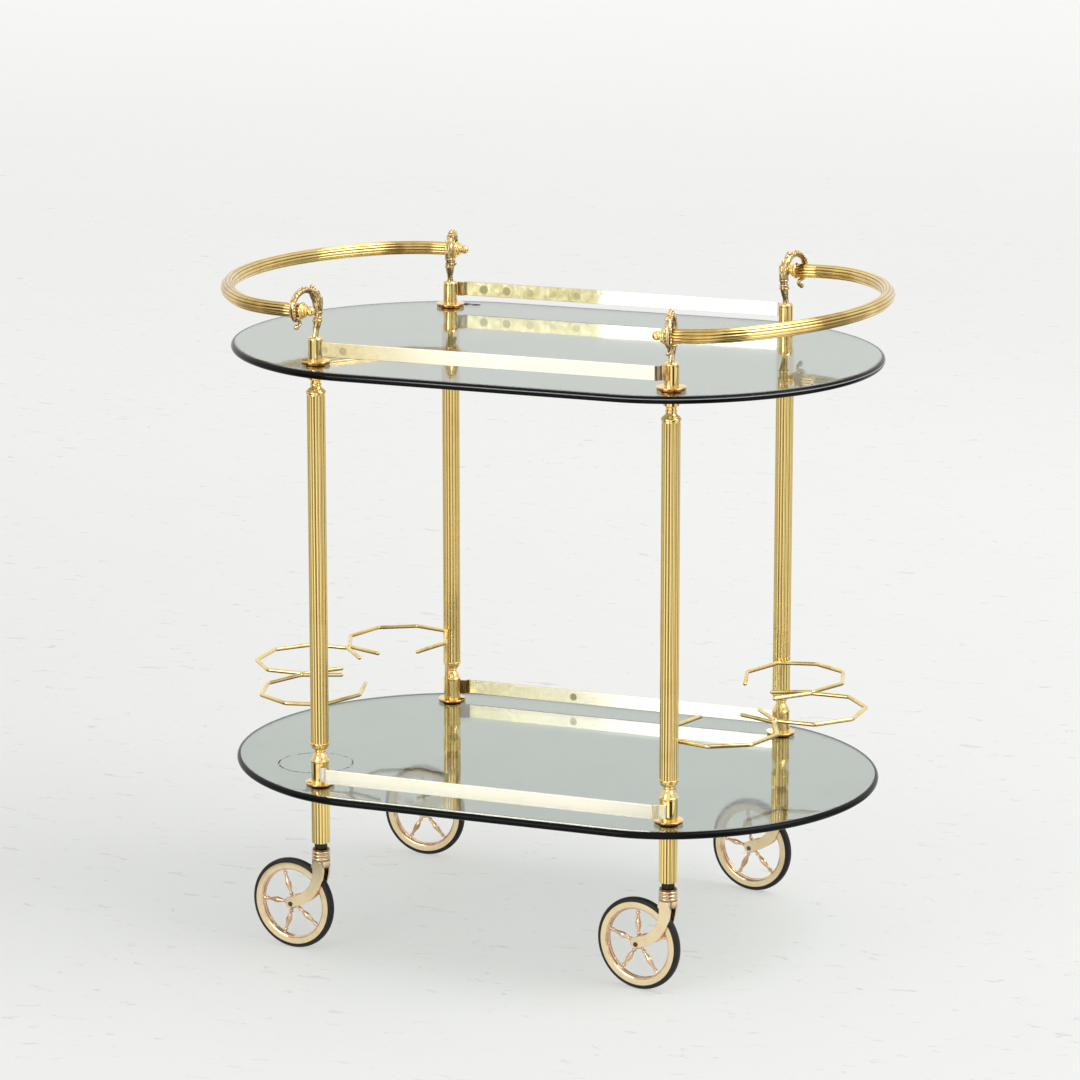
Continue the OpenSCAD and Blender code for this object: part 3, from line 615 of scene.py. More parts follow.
def rim_finish():
    """The ground and polished rim, painted nearly black as shade, with a painted highlight line on
    the upper shelf.
    """
    material, tree, where = blank("glass rim")
    do = partial(calc, tree)
    axes = axes_of(tree, where)
    cloud = noise(tree, where, 22.0, 4.0)
    # A painted highlight line just under the upper shelf's top, fading out to the left; the rest of
    # the rim is painted near black as shade.
    off = do("ABSOLUTE", do("SUBTRACT", axes["Z"], (upper_top - 2.7) * MM))
    line = do("MULTIPLY", ramp(tree, off, 0.0006, 0.0002), ramp(tree, axes["X"], -0.2, 0.02))
    tone = blend_colour(tree, cloud, (0.003, 0.0035, 0.0035, 1), (0.008, 0.009, 0.0095, 1))
    colour = blend_colour(tree, line, tone, (0.36, 0.37, 0.38, 1))
    return surfaced(material, {"Base Color": colour, "Specular IOR Level": 0.08,
                               "Roughness": do("MULTIPLY_ADD", cloud, 0.04, 0.01)})


glass, rim_glass = smoked_glass(), rim_finish()
print("glass and rim made")

# %% [markdown]
# ## Rubber
# The tyres are charcoal rubber, dusty and a little paler on the tread. The gaskets are
# the same rubber, cleaner and darker.

# %% Rubber finish
def rubber(name, fresh, dusty, rough):
    """Rubber with a fine grain, and dust in drifts."""
    material, tree, where = blank(name)
    dust = shared(tree, drifts, where, Scale=60.0, Cover=0.5)
    colour = blend_colour(tree, dust, (*fresh, 1), (*dusty, 1))
    grain = noise(tree, where, 900.0, 3.0)
    return surfaced(material, {"Base Color": colour, "Specular IOR Level": 0.3,
                               "Roughness": calc(tree, "MULTIPLY_ADD", dust, 0.15, rough),
                               "Normal": bumped(tree, grain, 0.00006)})


tyre_rubber = rubber("tyre rubber", (0.011, 0.011, 0.011), (0.026, 0.025, 0.024), 0.42)
gasket_rubber = rubber("gasket rubber", (0.012, 0.012, 0.012), (0.03, 0.028, 0.026), 0.5)
print("rubbers made")

# %% [markdown]
# ## The oval shelves
# Each end of a shelf is one wide curve between two tighter ones, so the outline is drawn
# from arcs. An arc keeps its centre when it is drawn smaller, so the rounded rim is made
# of the same outline at a few insets, like the layers of a hill on a map.

# %% Shelf outline
def oval(inset, steps=36):
    """The shelf's outline, drawn in by inset."""
    half_w, half_l, half_s, corner_r = 239.0, 365.0, 152.5, 172.0
    depth = half_l - half_s
    wide_r = (half_w ** 2 + depth ** 2 - 2 * half_w * corner_r) / (2 * (depth - corner_r))
    turn_at = math.degrees(math.atan2(half_w - corner_r, wide_r - depth))
    wide = arc(half_l - wide_r, 0, wide_r - inset, 0, turn_at, steps)
    tight = arc(half_s, half_w - corner_r, corner_r - inset, turn_at, 90, steps)
    quarter = wide[:-1] + tight
    half = (quarter + [(-x, y) for x, y in reversed(quarter)])[:-1]
    return half + [(-x, -y) for x, y in half]


def shelf(top):
    """A slab whose rim is rounded like a pencil. Also returns which faces are its rim."""
    half = glass_t / 2
    layers = [(9.0, -glass_t), (half, -glass_t)]
    layers += [(half * (1 - math.sin(math.radians(a))), -half - half * math.cos(math.radians(a)))
               for a in range(15, 166, 10)]
    layers += [(half, 0.0), (9.0, 0.0)]
    verts, rings = [], []
    for inset, z in layers:
        outline = oval(inset)
        rings.append(len(verts))
        verts += [(x, y, top + z) for x, y in outline]
    n = len(outline)
    faces = bands(rings, n) + [tuple(range(n - 1, -1, -1)), tuple(range(rings[-1], rings[-1] + n))]
    on_rim = [0 < number < len(layers) - 2 for number in range(len(layers) - 1) for _ in range(n)]
    return (verts, faces), on_rim + [False, False]


# %% The two shelves
for name, node, top in (("upper_shelf", "top_glass", upper_top),
                        ("lower_shelf", "lower_glass", lower_top)):
    part, on_rim = shelf(top)
    piece = make_piece(name, part, glass, rim_glass, soft_angle=60)
    piece.data.polygons.foreach_set("material_index", [int(flag) for flag in on_rim])
    place(piece, "frame", "glass_smoked", node)
    print(name, len(piece.data.polygons), "faces")

# %% [markdown]
# ## Reeded bars, by Geometry Nodes
# The columns, the leg stubs and the handles are drawn tube with reeds: round ribs side
# by side. The rule is the same for all, so one tree makes them. A circle of points is
# pushed out to the surface of the nearest reed, and that section is swept along a line.
# How deep a point lies between two reeds is stored as an attribute, for a painted shade in the
# valleys.

# %% Ending a tree
GEOMETRY, MATERIAL = "NodeSocketGeometry", "NodeSocketMaterial"


def finish_tree(tree, made, start, end):
    """Makes instances real, gives them the material and hands the result over."""
    real = add(tree, "GeometryNodeRealizeInstances", {"Geometry": made.outputs[0]})
    dressed = add(tree, "GeometryNodeSetMaterial",
                  {"Geometry": real.outputs[0], "Material": start.outputs["Material"]})
    tree.links.new(dressed.outputs[0], end.inputs["Geometry"])
    print("tree:", tree.name, "with", len(tree.nodes), "nodes")


# %% The reeded bar's tree
reeded, r_in, r_out = new_group(
    "reeded bar", "GeometryNodeTree",
    [("Geometry", GEOMETRY, None), ("Diameter", FLOAT, 0.02), ("Reeds", "NodeSocketInt", 16),
     ("Reed Radius", FLOAT, 0.002), ("Section Side", VECTOR, (1.0, 0.0, 0.0)),
     ("Material", MATERIAL, None)],
    [("Geometry", GEOMETRY)])
PER_REED = 12.0   # points of the section on each reed
VALLEY = 0.47     # depth of a valley, as a share of the reed's radius
do, reeds, reed_r = partial(calc, reeded), r_in.outputs["Reeds"], r_in.outputs["Reed Radius"]
outer = do("DIVIDE", r_in.outputs["Diameter"], 2.0)
centre = do("SUBTRACT", outer, reed_r)
count = do("MULTIPLY", reeds, PER_REED)
section = add(reeded, "GeometryNodeCurvePrimitiveCircle", {"Resolution": count, "Radius": 1.0})
index = add(reeded, "GeometryNodeInputIndex").outputs[0]
angle = do("DIVIDE", do("MULTIPLY", index, 2 * math.pi), count)
half_pitch = do("DIVIDE", do("DIVIDE", 2 * math.pi, reeds), 2.0)
off = do("WRAP", angle, do("MULTIPLY", half_pitch, -1.0), half_pitch)
across = do("MULTIPLY", centre, do("SINE", off))
rise = do("SQRT", do("SUBTRACT", do("POWER", reed_r, 2.0), do("POWER", across, 2.0)))
reach = do("ADD", do("MULTIPLY", centre, do("COSINE", off)), rise)
spot = add(reeded, "ShaderNodeCombineXYZ",
           {0: do("MULTIPLY", reach, do("COSINE", angle)),
            1: do("MULTIPLY", reach, do("SINE", angle))})
pushed = add(reeded, "GeometryNodeSetPosition",
             {"Geometry": section.outputs["Curve"], "Position": spot.outputs[0]})
# How deep a point lies in a valley, stored for a painted shade there.
depth = do("DIVIDE", do("SUBTRACT", outer, reach), do("MULTIPLY", reed_r, VALLEY), clamp=True)
marked = add(reeded, "GeometryNodeStoreNamedAttribute",
             {"Geometry": pushed.outputs[0], "Name": "groove", "Value": depth},
             data_type="FLOAT", domain="POINT")
line = add(reeded, "GeometryNodeMeshToCurve", {"Mesh": r_in.outputs["Geometry"]})
steady = add(reeded, "GeometryNodeSetCurveNormal",
             {"Curve": line.outputs[0], "Normal": r_in.outputs["Section Side"]}, mode="FREE")
swept = add(reeded, "GeometryNodeCurveToMesh",
            {"Curve": steady.outputs[0], "Profile Curve": marked.outputs[0], "Fill Caps": True})
finish_tree(reeded, swept, r_in, r_out)


# %% Running a tree
def grown(name, base, tree, values, matrix=None, soft_angle=35):
    """Runs a tree on a plain mesh, and returns its result as a piece of its own."""
    seed = in_scene(name + "_line", base)
    grow = seed.modifiers.new("grow", "NODES")
    grow.node_group = tree
    keys = {item.name: item.identifier for item in tree.interface.items_tree
            if item.in_out == "INPUT"}
    for label, value in values.items():
        grow[keys[label]] = value
    bpy.context.view_layer.update()
    seen = seed.evaluated_get(bpy.context.evaluated_depsgraph_get())
    mesh = bpy.data.meshes.new_from_object(seen)
    bpy.data.objects.remove(seed)
    if matrix is not None:
        mesh.transform(matrix)
    finish_mesh(mesh, soft_angle)
    mesh.name = name
    return in_scene(name, mesh)


def line_mesh(points):
    """A chain of edges through points in millimetres."""
    return mesh_of("line", points, [(k, k + 1) for k in range(len(points) - 1)])


# %% Columns and leg stubs
dish_h, capital_h, column_d, column_reed = 43.4, 24.5, 20.0, 2.0
column_z, column_top = base_z + dish_h, capital_top - capital_h
for key, (x, y) in post_at.items():
    for name, node, low, high in (("reeded_column_", "column_", column_z, column_top),
                                  ("reeded_stub_", "leg_stub_", stub_top - stub_h, stub_top)):
        piece = grown(name + key, line_mesh([(x, y, low), (x, y, high)]), reeded,
                      {"Diameter": column_d * MM, "Reeds": 16, "Reed Radius": column_reed * MM,
                       "Material": tube_brass})
        place(piece, "frame", "brass_polished", node + key)
print("columns from", column_z, "to", column_top, "mm")

# %% [markdown]
# ## Handles
# A handle is the same reeded tube, bent in one plane: straight at the hooks, two tight
# bends and one wide one. The right handle sits a little loose in its hooks and tilts up,
# so its line is turned about the hooks before the tree sweeps it.

# %% Handle lines
handle_y, handle_out, tube_end = post_y + hook_reach, 164.0, 4.0
handle_lead, bend_r, handle_d, handle_reed = 7.0, 110.0, 15.6, 1.903
handle_depth = handle_out - tube_end - handle_lead
wide_r = (handle_y ** 2 + handle_depth ** 2 - 2 * handle_y * bend_r) / (2 * (handle_depth - bend_r))
wide_a = math.degrees(math.atan2(handle_y - bend_r, wide_r - handle_depth))
tilts = {"left": (-1, 0.0), "right": (1, 2.0)}


def at_handle(side, tilt):
    """Where a handle's own axes stand: X outward from the hooks."""
    turn_up = rotated(-tilt, "Y")
    shift = Matrix.Translation((post_x + tube_end, 0, handle_z))
    return Matrix.Diagonal((side, 1, 1, 1)) @ shift @ turn_up


half_line = [(0, handle_y)] + arc(handle_lead, handle_y - bend_r, bend_r, 90, wide_a, 20)
half_line += arc(handle_lead + handle_depth - wide_r, 0, wide_r, wide_a, 0, 24)[1:]
loop_line = half_line + [(x, -y) for x, y in reversed(half_line[:-1])]
for label, (side, tilt) in tilts.items():
    stand = at_handle(side, tilt)
    points = [stand @ Vector((x, y, 0)) for x, y in loop_line]
    upright = (stand.to_3x3() @ Vector((0, 0, 1))).normalized()
    piece = grown("handle_loop_" + label, line_mesh(points), reeded,
                  {"Diameter": handle_d * MM, "Reeds": 12, "Reed Radius": handle_reed * MM,
                   "Section Side": tuple(upright), "Material": handle_brass})
    place(piece, "frame", "brass_polished", "handle_" + label)
print("handle bends", round(wide_r, 1), "mm over", round(2 * wide_a), "degrees")

# %% [markdown]
# ## Turned parts of a post
# The capital, the base turning and the sleeve above the glass are solid turnings. Their
# outline is read off the real ones as radius and height: runs of points are smooth
# curves, and a new run starts at each sharp corner that the lathe tool left.

# %% Turning four at once
def turned(label, node, part, z):
    """One copy of a turned part on each post, at height z."""
    for key, (x, y) in post_at.items():
        piece = make_piece(label + key, shifted(part, x, y, z), turned_brass)
        place(piece, "frame", "brass_polished", node + key)


# %% Capitals
capital = turn(
    [(0, 0), (10.2, 0)], [(10.7, -0.4), (10.8, -1.0), (10.5, -1.7)],
    [(9.7, -3.0), (9.0, -4.6), (8.75, -6.2), (8.6, -6.9)],
    [(7.6, -7.4), (6.5, -8.4), (5.8, -9.8)],
    [(5.5, -10.6), (5.5, -12.0)],
    [(6.0, -12.3), (6.3, -13.0), (6.3, -13.6), (6.0, -14.3), (5.6, -14.7)],
    [(6.2, -16.0), (7.2, -17.2), (8.4, -18.2)],
    [(9.1, -18.7), (9.4, -19.3)],
    [(10.2, -19.9), (10.8, -20.7), (11.0, -21.7), (10.8, -22.7), (10.2, -23.4)],
    [(9.9, -23.6), (10.0, -24.5), (9.4, -24.9)], [(0, -24.9)])
turned("turned_capital_", "capital_", capital, capital_top)
print("capital profile turned four times")

# %% Base turnings
base = turn(
    [(0, 0), (9.6, 0)], [(9.8, 0.3), (9.8, 11), (9.8, 22)],
    [(9.95, 22.6), (10.2, 23.0), (10.3, 23.6), (10.2, 24.3), (9.7, 24.8)],
    [(9.2, 25.2), (8.9, 26.2), (8.2, 28.0), (7.2, 30.0), (6.2, 31.6), (5.6, 32.8)],
    [(5.4, 33.4), (5.5, 34.0)],
    [(6.2, 34.3), (6.4, 34.9), (6.2, 35.5), (5.9, 35.8)],
    [(7.4, 36.8), (8.7, 38.3), (9.4, 40.2)],
    [(9.9, 40.7), (10.0, 41.5), (10.2, 42.0)],
    [(10.7, 42.3), (10.8, 43.2), (10.7, 43.9), (10.2, 44.2)],
    [(0, 43.9)])
turned("turned_base_", "base_turning_", base, base_z)
print("bases turned")

# %% Sleeves above the top shelf
h = sleeve_h
sleeve = turn(
    [(0, 0), (7.8, 0)], [(8.0, 0.3), (8, 8), (8, h - 3.2)],
    [(8.1, h - 2.9), (8.0, h - 2.5)],
    [(7.7, h - 1.6), (7.1, h - 0.7), (6.2, h - 0.15), (5.2, h)],
    [(0, h)])
turned("turned_sleeve_", "top_sleeve_", sleeve, sleeve_z)
print("sleeves turned")

# %% [markdown]
# ## Flanges and gaskets
# A flange presses the glass through a rubber ring. Its lower edge is brown, so the bright
# plate and the brown foot under it are turned as two pieces with a finish each.

# %% Flanges and gaskets
plate_ring = turn([(4, 1.5), (15.5, 1.5)], [(16.0, 1.8), (16.0, 2.3), (15.6, 2.7)],
                  [(14.9, 2.8), (4, 2.8)], [(4, 1.5)])


def foot_ring(drop):
    """The brown foot, reaching down past the rubber by drop."""
    return turn([(12, -drop), (15, -drop)], [(15.5, 0.3 - drop), (15.7, 0.9), (15.5, 1.4)],
                [(12, 1.5)], [(12, -drop)])


def seal(r):
    """A rubber ring with a rounded lip at radius r."""
    return turn([(4, 0), (r, 0)], [(r + 0.5, 0.3), (r + 0.5, 0.9), (r, gasket_t)],
                [(4, gasket_t)], [(4, 0)])


# The foot's reach past the rubber and the rubber's radius differ between the shelves.
under_r = 9.8
for name, top, drop, over_r in (("top", upper_top, 1.0, 11.0), ("lower", lower_top, 0.0, 14.6)):
    for label, ring, finish in (("plates", plate_ring, turned_brass),
                                ("feet", foot_ring(drop), brown_brass)):
        rings = [shifted(ring, x, y, top + gasket_t) for x, y in post_at.values()]
        place(make_piece(f"{name}_flange_{label}", added(*rings), finish), "frame",
              "brass_polished", name + "_flanges")
    seals = []
    for x, y in post_at.values():
        seals += [shifted(seal(over_r), x, y, top),
                  shifted(seal(under_r), x, y, top - glass_t - gasket_t)]
    place(make_piece(name + "_seals", added(*seals), gasket_rubber), "frame", "gasket_rubber",
          name + "_gaskets")
print("flanges and seals turned")

# %% [markdown]
# ## Gallery rails
# A rail is flat bar, bent outward next to its end tabs so that it stands proud of the
# posts. Its outline from above is drawn with soft bends, given its height, and its sharp
# edges are rounded by a Bevel modifier, as a file would.

# %% Rails
joggle, rail_fit = 5.0, 0.15
RAIL_ENDS = ((203.5, 196.0, 189.0), (196.5, 192.5, 187.0))   # end, bend and bar of each side


def rail_outline(tab_y):
    """The bar from above, on the -Y side. Its tabs lie against the posts at tab_y."""
    sides = []
    for end_x, bend_x, bar_x in RAIL_ENDS:
        outer = [(end_x, tab_y), (bend_x + 1.0, tab_y)]
        outer += curve_through([(bend_x, tab_y - 0.05), (bend_x - 1.2, tab_y - 0.5),
                                (bar_x + 1.6, tab_y - joggle + 0.5), (bar_x, tab_y - joggle)], 5)
        back_y = tab_y + rail_t
        inner = [(end_x, back_y), (bend_x - 0.5, back_y)]
        inner += curve_through([(bend_x - 1.5, back_y - 0.1), (bend_x - 2.8, back_y - 0.8),
                                (bar_x + 0.4, back_y - joggle + 0.4),
                                (bar_x - 1, back_y - joggle)], 5)
        sides.append((outer, inner))
    front, back = (right + [(-x, y) for x, y in reversed(left)] for right, left in zip(*sides))
    return front + back[::-1]


rails = {"top_rail_front": (1, sleeve_r, top_rail_z), "top_rail_back": (-1, sleeve_r, top_rail_z),
         "lower_rail_front": (1, 9.8, low_rail_z), "lower_rail_back": (-1, 9.8, low_rail_z)}
for node, (way, r, low) in rails.items():
    outline = rail_outline(-post_y - r - rail_fit - rail_t)
    part = plate([(x, way * y) for x, y in outline], low, low + rail_h)
    piece = make_piece(node.replace("rail", "gallery_bar"), part, rail_finish[node],
                       soft_angle=25, bevel=0.4)
    place(piece, "frame", "brass_rail", node)
print("four rails,", RAIL_ENDS[0][0] + RAIL_ENDS[1][0], "mm long")

# %% [markdown]
# ## Cast hooks
# The hooks are the finest part of the trolley: a leafy stem that swells, arches over and
# curls under the tube to a small ball. Each is swept along a curve in a turned plane with
# its own thickness and width at every station. Rows of beads are added by Geometry
# Nodes, and knobs, crowns of leaves and belts by small functions.

# %% Hook line
HOOK_STEPS = 8
tube_u, tube_v = hook_reach / math.cos(math.radians(hook_turn)), hook_rise
hook_clear = 7.95
under_v, past_u = tube_v - hook_clear, tube_u + hook_clear
# Each station is its place out from the post, its height, its thickness and its width.
hook_line = [
    (0, 0, 3.6, 3.6), (-0.8, 4, 3.2, 3.2), (-2.5, 10.5, 3.9, 3.7), (-3.9, 17, 5, 4.6),
    (-4.7, 21, 4.3, 4.2), (-5.2, 27, 5.1, 4.7), (-5, 33, 6, 5.1), (-3.6, 39, 5.9, 5),
    (0.2, 45, 5.1, 4.6), (5.4, 49.6, 4, 3.9), (12, 51.8, 3.2, 3.3), (19.5, 52.3, 3, 3.2),
    (26.4, 50.8, 3.3, 3.3), (32.4, 47.6, 3.1, 3.5), (past_u + 1.3, tube_v + 10, 2.6, 3.5),
    (past_u + 2.6, tube_v + 3.5, 2.4, 3.7), (past_u + 2.2, tube_v - 3, 2.4, 3.8),
    (past_u - 0.8, tube_v - 8.4, 2.7, 3.2), (tube_u + 3.4, under_v - 2.1, 2, 2.6),
    (tube_u - 0.6, under_v - 3.2, 1.9, 2.3), (tube_u - 1.6, under_v - 6.6, 1.8, 2),
    (tube_u + 1.4, under_v - 9.2, 1.8, 1.9)]
hook_way = curve_through(hook_line, HOOK_STEPS)


def hook_frame(k):
    """Place, heading and the way out from the curve at station k of a hook."""
    a, b = hook_way[max(k - 1, 0)], hook_way[min(k + 1, len(hook_way) - 1)]
    heading = Vector((b[0] - a[0], 0, b[1] - a[1])).normalized() if k else Vector((0, 0, 1))
    outward = Vector((-heading.z, 0, heading.x))
    return Vector((hook_way[k][0], 0, hook_way[k][1])), heading, outward


def hook_stem(sides=24):
    """The swept stem of a hook."""
    verts = []
    for k, (u, v, thick, wide) in enumerate(hook_way):
        at, heading, outward = hook_frame(k)
        for j in range(sides):
            a = 2 * math.pi * j / sides
            verts.append(tuple(at + outward * thick * math.cos(a)
                               + Vector((0, wide * math.sin(a), 0))))
    ends = [tuple(range(sides)), tuple(range(len(verts) - sides, len(verts)))]
    return verts, bands(range(0, len(verts), sides), sides) + ends


# %% Leaves, knobs and belts of a hook
def leaf(k, side, length, width, lift, steps=8, sides=8):
    """A pointed leaf that lies along the stem from station k, and stands off at its tip."""
    at, heading, outward = hook_frame(k)
    thick, wide = hook_way[k][2:]
    along = Vector((0, math.cos(side), 0)) * wide + outward * math.sin(side) * thick
    away, across = along.normalized(), along.normalized().cross(heading)
    verts = []
    for j in range(steps + 1):
        t = j / steps
        half = width * math.sin(math.pi * min(1, 0.25 + 0.75 * t)) ** 0.8 + 0.05
        middle = at + along * 0.82 + heading * length * t + away * lift * t * t
        for m in range(sides):
            a = 2 * math.pi * m / sides
            verts.append(tuple(middle + across * half * math.cos(a)
                               + away * (0.45 + 0.5 * half) * math.sin(a)))
    ends = [tuple(range(sides)), tuple(range(len(verts) - sides, len(verts)))]
    return verts, bands(range(0, len(verts), sides), sides) + ends


def station(v_at):
    """The station of the stem whose height is nearest, on the way up."""
    return min(range(9 * HOOK_STEPS), key=lambda k: abs(hook_way[k][1] - v_at))


KNOBS = ((4.4, 54.6, 2.6), (0.9, 52.2, 2.3), (20.4, 55.2, 1.7), (14.2, 55.0, 1.5),
         (26.2, 54.2, 1.5))   # place, height and radius
# A crown of leaves is its height, its count, its first leaf, and each leaf's sizes.
CROWNS = ((9, 6, 0, 8.5, 1.5, 1.5), (27, 5, 0, 9.5, 1.9, 0.9), (33, 6, 0.5, 9.5, 1.9, 1.1),
          (40, 5, 0, 8.5, 1.6, 1.2))
BELTS = ((17.2, 0.5), (20.6, 0.5), (26.4, 0.4))   # height, and how far it stands out


def hook_ornament():
    """A hook at the origin: stem, end ball, knobs, crowns of leaves and belts."""
    parts = [hook_stem(), ball(tube_u + 4.4, 0, under_v - 9.6, 2.8)]
    parts += [ball(u, 0, v, r, sides=16) for u, v, r in KNOBS]
    for height, count, first, *leaf_sizes in CROWNS:
        parts += [leaf(station(height), 2 * math.pi * (j + first) / count, *leaf_sizes)
                  for j in range(count)]
    for height, extra in BELTS:
        u, v, thick, wide = hook_way[station(height)]
        belt = turn(arc(thick + extra - 0.5, 0, 0.9, -90, 90, 6), sides=24, steps=1)
        parts.append(shifted(belt, u, 0, v))
    return added(*parts)


# %% The tree of beads
beads_tree, b_in, b_out = new_group(
    "beads on points", "GeometryNodeTree",
    [("Geometry", GEOMETRY, None), ("Bead Radius", FLOAT, 0.001), ("Material", MATERIAL, None)],
    [("Geometry", GEOMETRY)])
pips = add(beads_tree, "GeometryNodeMeshToPoints", {"Mesh": b_in.outputs["Geometry"]})
bead = add(beads_tree, "GeometryNodeMeshUVSphere",
           {"Segments": 8, "Rings": 5, "Radius": b_in.outputs["Bead Radius"]})
set_on = add(beads_tree, "GeometryNodeInstanceOnPoints",
             {"Points": pips.outputs[0], "Instance": bead.outputs[0]})
finish_tree(beads_tree, set_on, b_in, b_out)

# %% The four hooks
hook_part, bead_spots, bead_r = hook_ornament(), [], 1.25
for k in [*range(70, 104, 4), *range(106, 132, 4)]:
    at, heading, outward = hook_frame(k)
    thick, wide = hook_way[k][2:]
    bead_spots += [at + outward * thick * 0.55 + Vector((0, way * wide * 0.8, 0))
                   for way in (-1, 1)]
swing = rotated(90 - hook_turn, "Z")
for key, (sx, sy) in posts.items():
    stand = (Matrix.Translation((*post_at[key], sleeve_top))
             @ Matrix.Diagonal((sx, sy, 1, 1)) @ swing)
    piece = make_piece("cast_hook_" + key, moved(hook_part, stand), cast_brass, soft_angle=50)
    shade_below(piece)
    pegs = mesh_of("bead points", [stand @ spot for spot in bead_spots])
    beads = grown("hook_beads_" + key, pegs, beads_tree,
                  {"Bead Radius": bead_r * MM, "Material": cast_brass}, soft_angle=60)
    for part in (piece, beads):
        place(part, "frame", "brass_cast", "handle_hook_" + key)
print("hooks swept through", len(hook_way), "stations, with", len(bead_spots), "beads each")

# %% [markdown]
# ## Finials
# The open ends of each handle are stopped by a turned collar and a ball with a dimple.

# %% Finials
finial = turn(
    [(0, -6), (6.5, -6)], [(6.5, 0)], [(8.5, 0)],
    [(9.05, 0.5), (9.15, 1.2), (9.0, 1.9), (8.4, 2.5)],
    [(7.3, 2.8), (6.8, 3.3)],
    [(7.1, 3.7), (7.25, 4.5), (7.0, 5.4), (6.1, 5.9)],
    [(4.9, 6.2), (4.3, 6.8), (4.2, 7.5)],
    tuple(arc(0, 10.6, 5.2, -36, 78, 14)), ((1.08, 15.69), (0.9, 15.3), (0, 15.2)), sides=48)
lay = rotated(-90, "Y")
for label, (side, tilt) in tilts.items():
    stand = at_handle(side, tilt)
    ends = [moved(finial, stand @ Matrix.Translation((0, way * handle_y, 0)) @ lay)
            for way in (-1, 1)]
    place(make_piece("ball_finials_" + label, added(*ends), turned_brass), "frame",
          "brass_polished", "finials_" + label)
print("four finials turned")

# %% [markdown]
# ## Bottle racks
# Each rack is three open rings of wire with eight soft corners, brazed together, on two
# uprights that stand on the flanges. The path is given by its corners, and every corner
# is replaced by a short arc, as a bending jig leaves it.

# %% Rack wire
def bent(points, radius=6.0, steps=6):
    """The path through the points, with each inner corner bent round an arc."""
    out = [Vector(points[0])]
    for before, here, after in zip(points, points[1:], points[2:]):
        a, b, c = Vector(before), Vector(here), Vector(after)
        back, on = (a - b).normalized(), (c - b).normalized()
        half = back.angle(on) / 2
        cut = radius / math.tan(half)
        middle = b + (back + on).normalized() * radius / math.sin(half)
        start, end = b + back * cut - middle, b + on * cut - middle
        for k in range(steps + 1):
            out.append(middle + start.slerp(end, k / steps).normalized() * radius)
    return out + [Vector(points[-1])]


def ring_corners(cx, cy, rx, ry, first, way):
    """Eight corners on an ellipse, from the first angle on."""
    angles = [math.radians(first + way * k * 45) for k in range(8)]
    return [(cx + rx * math.cos(a), cy + ry * math.sin(a), 0) for a in angles]


rack_z, wire_r, foot_corner = lower_top + 87, 2.3, 5
middle_ring = ring_corners(post_x + 98.5, 0, 56.8, 67, 157.5, -1)
side_ring = ring_corners(post_x + 38.5, post_y - 71, 57.5, 67.5, -94, 1)
foot_x, foot_y = post_x + 1.3, post_y - 13.5
side_ring[foot_corner] = (foot_x, foot_y, 0)
joint = (Vector(side_ring[1]) + Vector(middle_ring[1])) / 2
for label, side in (("left", -1), ("right", 1)):
    wires = [shifted(tube_along(bent(middle_ring), wire_r), 0, 0, rack_z)]
    for way in (-1, 1):
        ring = [(x, way * y, z) for x, y, z in side_ring]
        upright = [(foot_x, way * foot_y, z) for z in (base_z + 2, rack_z)]
        wires += [shifted(tube_along(bent(ring), wire_r), 0, 0, rack_z),
                  tube_along(upright, wire_r - 0.1),
                  ball(joint.x, way * joint.y, rack_z, wire_r + 0.9)]
    piece = make_piece("wire_rack_" + label, moved(added(*wires), Matrix.Diagonal((side, 1, 1, 1))),
                       wire_brass, soft_angle=60)
    shade_below(piece)
    place(piece, "frame", "brass_polished", "bottle_rack_" + label)
print("racks at", rack_z, "mm")

# %% [markdown]
# ## Casters
# Each caster turns on a pin in the foot of its stub. A ribbed collar carries two crescent
# arms, and the arms hold the wheel. The collar is turned; the arms are plate, cut to the
# crescent and rounded at the edges.

# %% Where each caster stands
caster_turn = {"fl": -8, "fr": -12, "bl": -3, "br": -12}
trail, axle_z = 36.0, 51.0
collar_z = 104.9


def at_caster(key):
    """Where a caster's own axes stand: on the floor below its pin, the wheel towards -X."""
    return (Matrix.Translation((*post_at[key], 0))
            @ rotated(caster_turn[key], "Z"))


def at_wheel(key):
    """The wheel's own axes: its axle lies along Z of the turned shape."""
    return (at_caster(key) @ Matrix.Translation((-trail, 0, axle_z))
            @ rotated(90, "X"))


# %% Fork arms
def arm_outline():
    """The crescent seen from the side: x along the trail, y up."""
    outer = arc(-trail - 8, axle_z + 47, 51.3, -80.5, -2.0, 40)
    head = curve_through([(7.27, 96.2), (6.5, 99.6), (4.3, 102.9), (0.8, 104.9), (-2.6, 104.9),
                          (-6.2, 103.2), (-8.3, 100.6), (-8.9, 97.4)], 4)
    inner = arc(-trail - 4, axle_z + 42, 33, 7.5, -78.0, 40)
    tip = arc(-trail, axle_z + 1.4, 6.9, 80, 268, 24)
    return outer[:-1] + head + inner[1:] + tip


arm_in, arm_out = 5.0, 7.5
ribs = [tuple(arc(9.2, 2.8 + 3.9 * k, 1.35, -80, 80, 8)) for k in range(3)]
collar = turn([(0, 0), (9.3, 0)], *ribs, [(9.0, 12.4)], [(0, 12.4)], steps=1)
flare = turn([(0, 12.3), (8.9, 12.3)], [(9.5, 12.6), (9.6, 13.1), (9.0, 13.6)],
             [(8.2, 13.95), (0, 14.0)])
skirt = plate(arc(0, 0, 10.15, -47, 47, 16) + arc(0, 0, 10.15, 133, 227, 16), -6.5, 0.4)
pin = turn([(0, -8.3), (2.3, -8.3)], [(2.6, -8.1), (2.7, -7.7), (2.7, -7.5)],
           [(2.3, -7.5)], [(2.3, 7.5)], [(2.7, 7.5)],
           [(2.7, 7.7), (2.6, 8.1), (2.3, 8.3)], [(0, 8.3)], sides=32)
stood_up = rotated(90, "X")
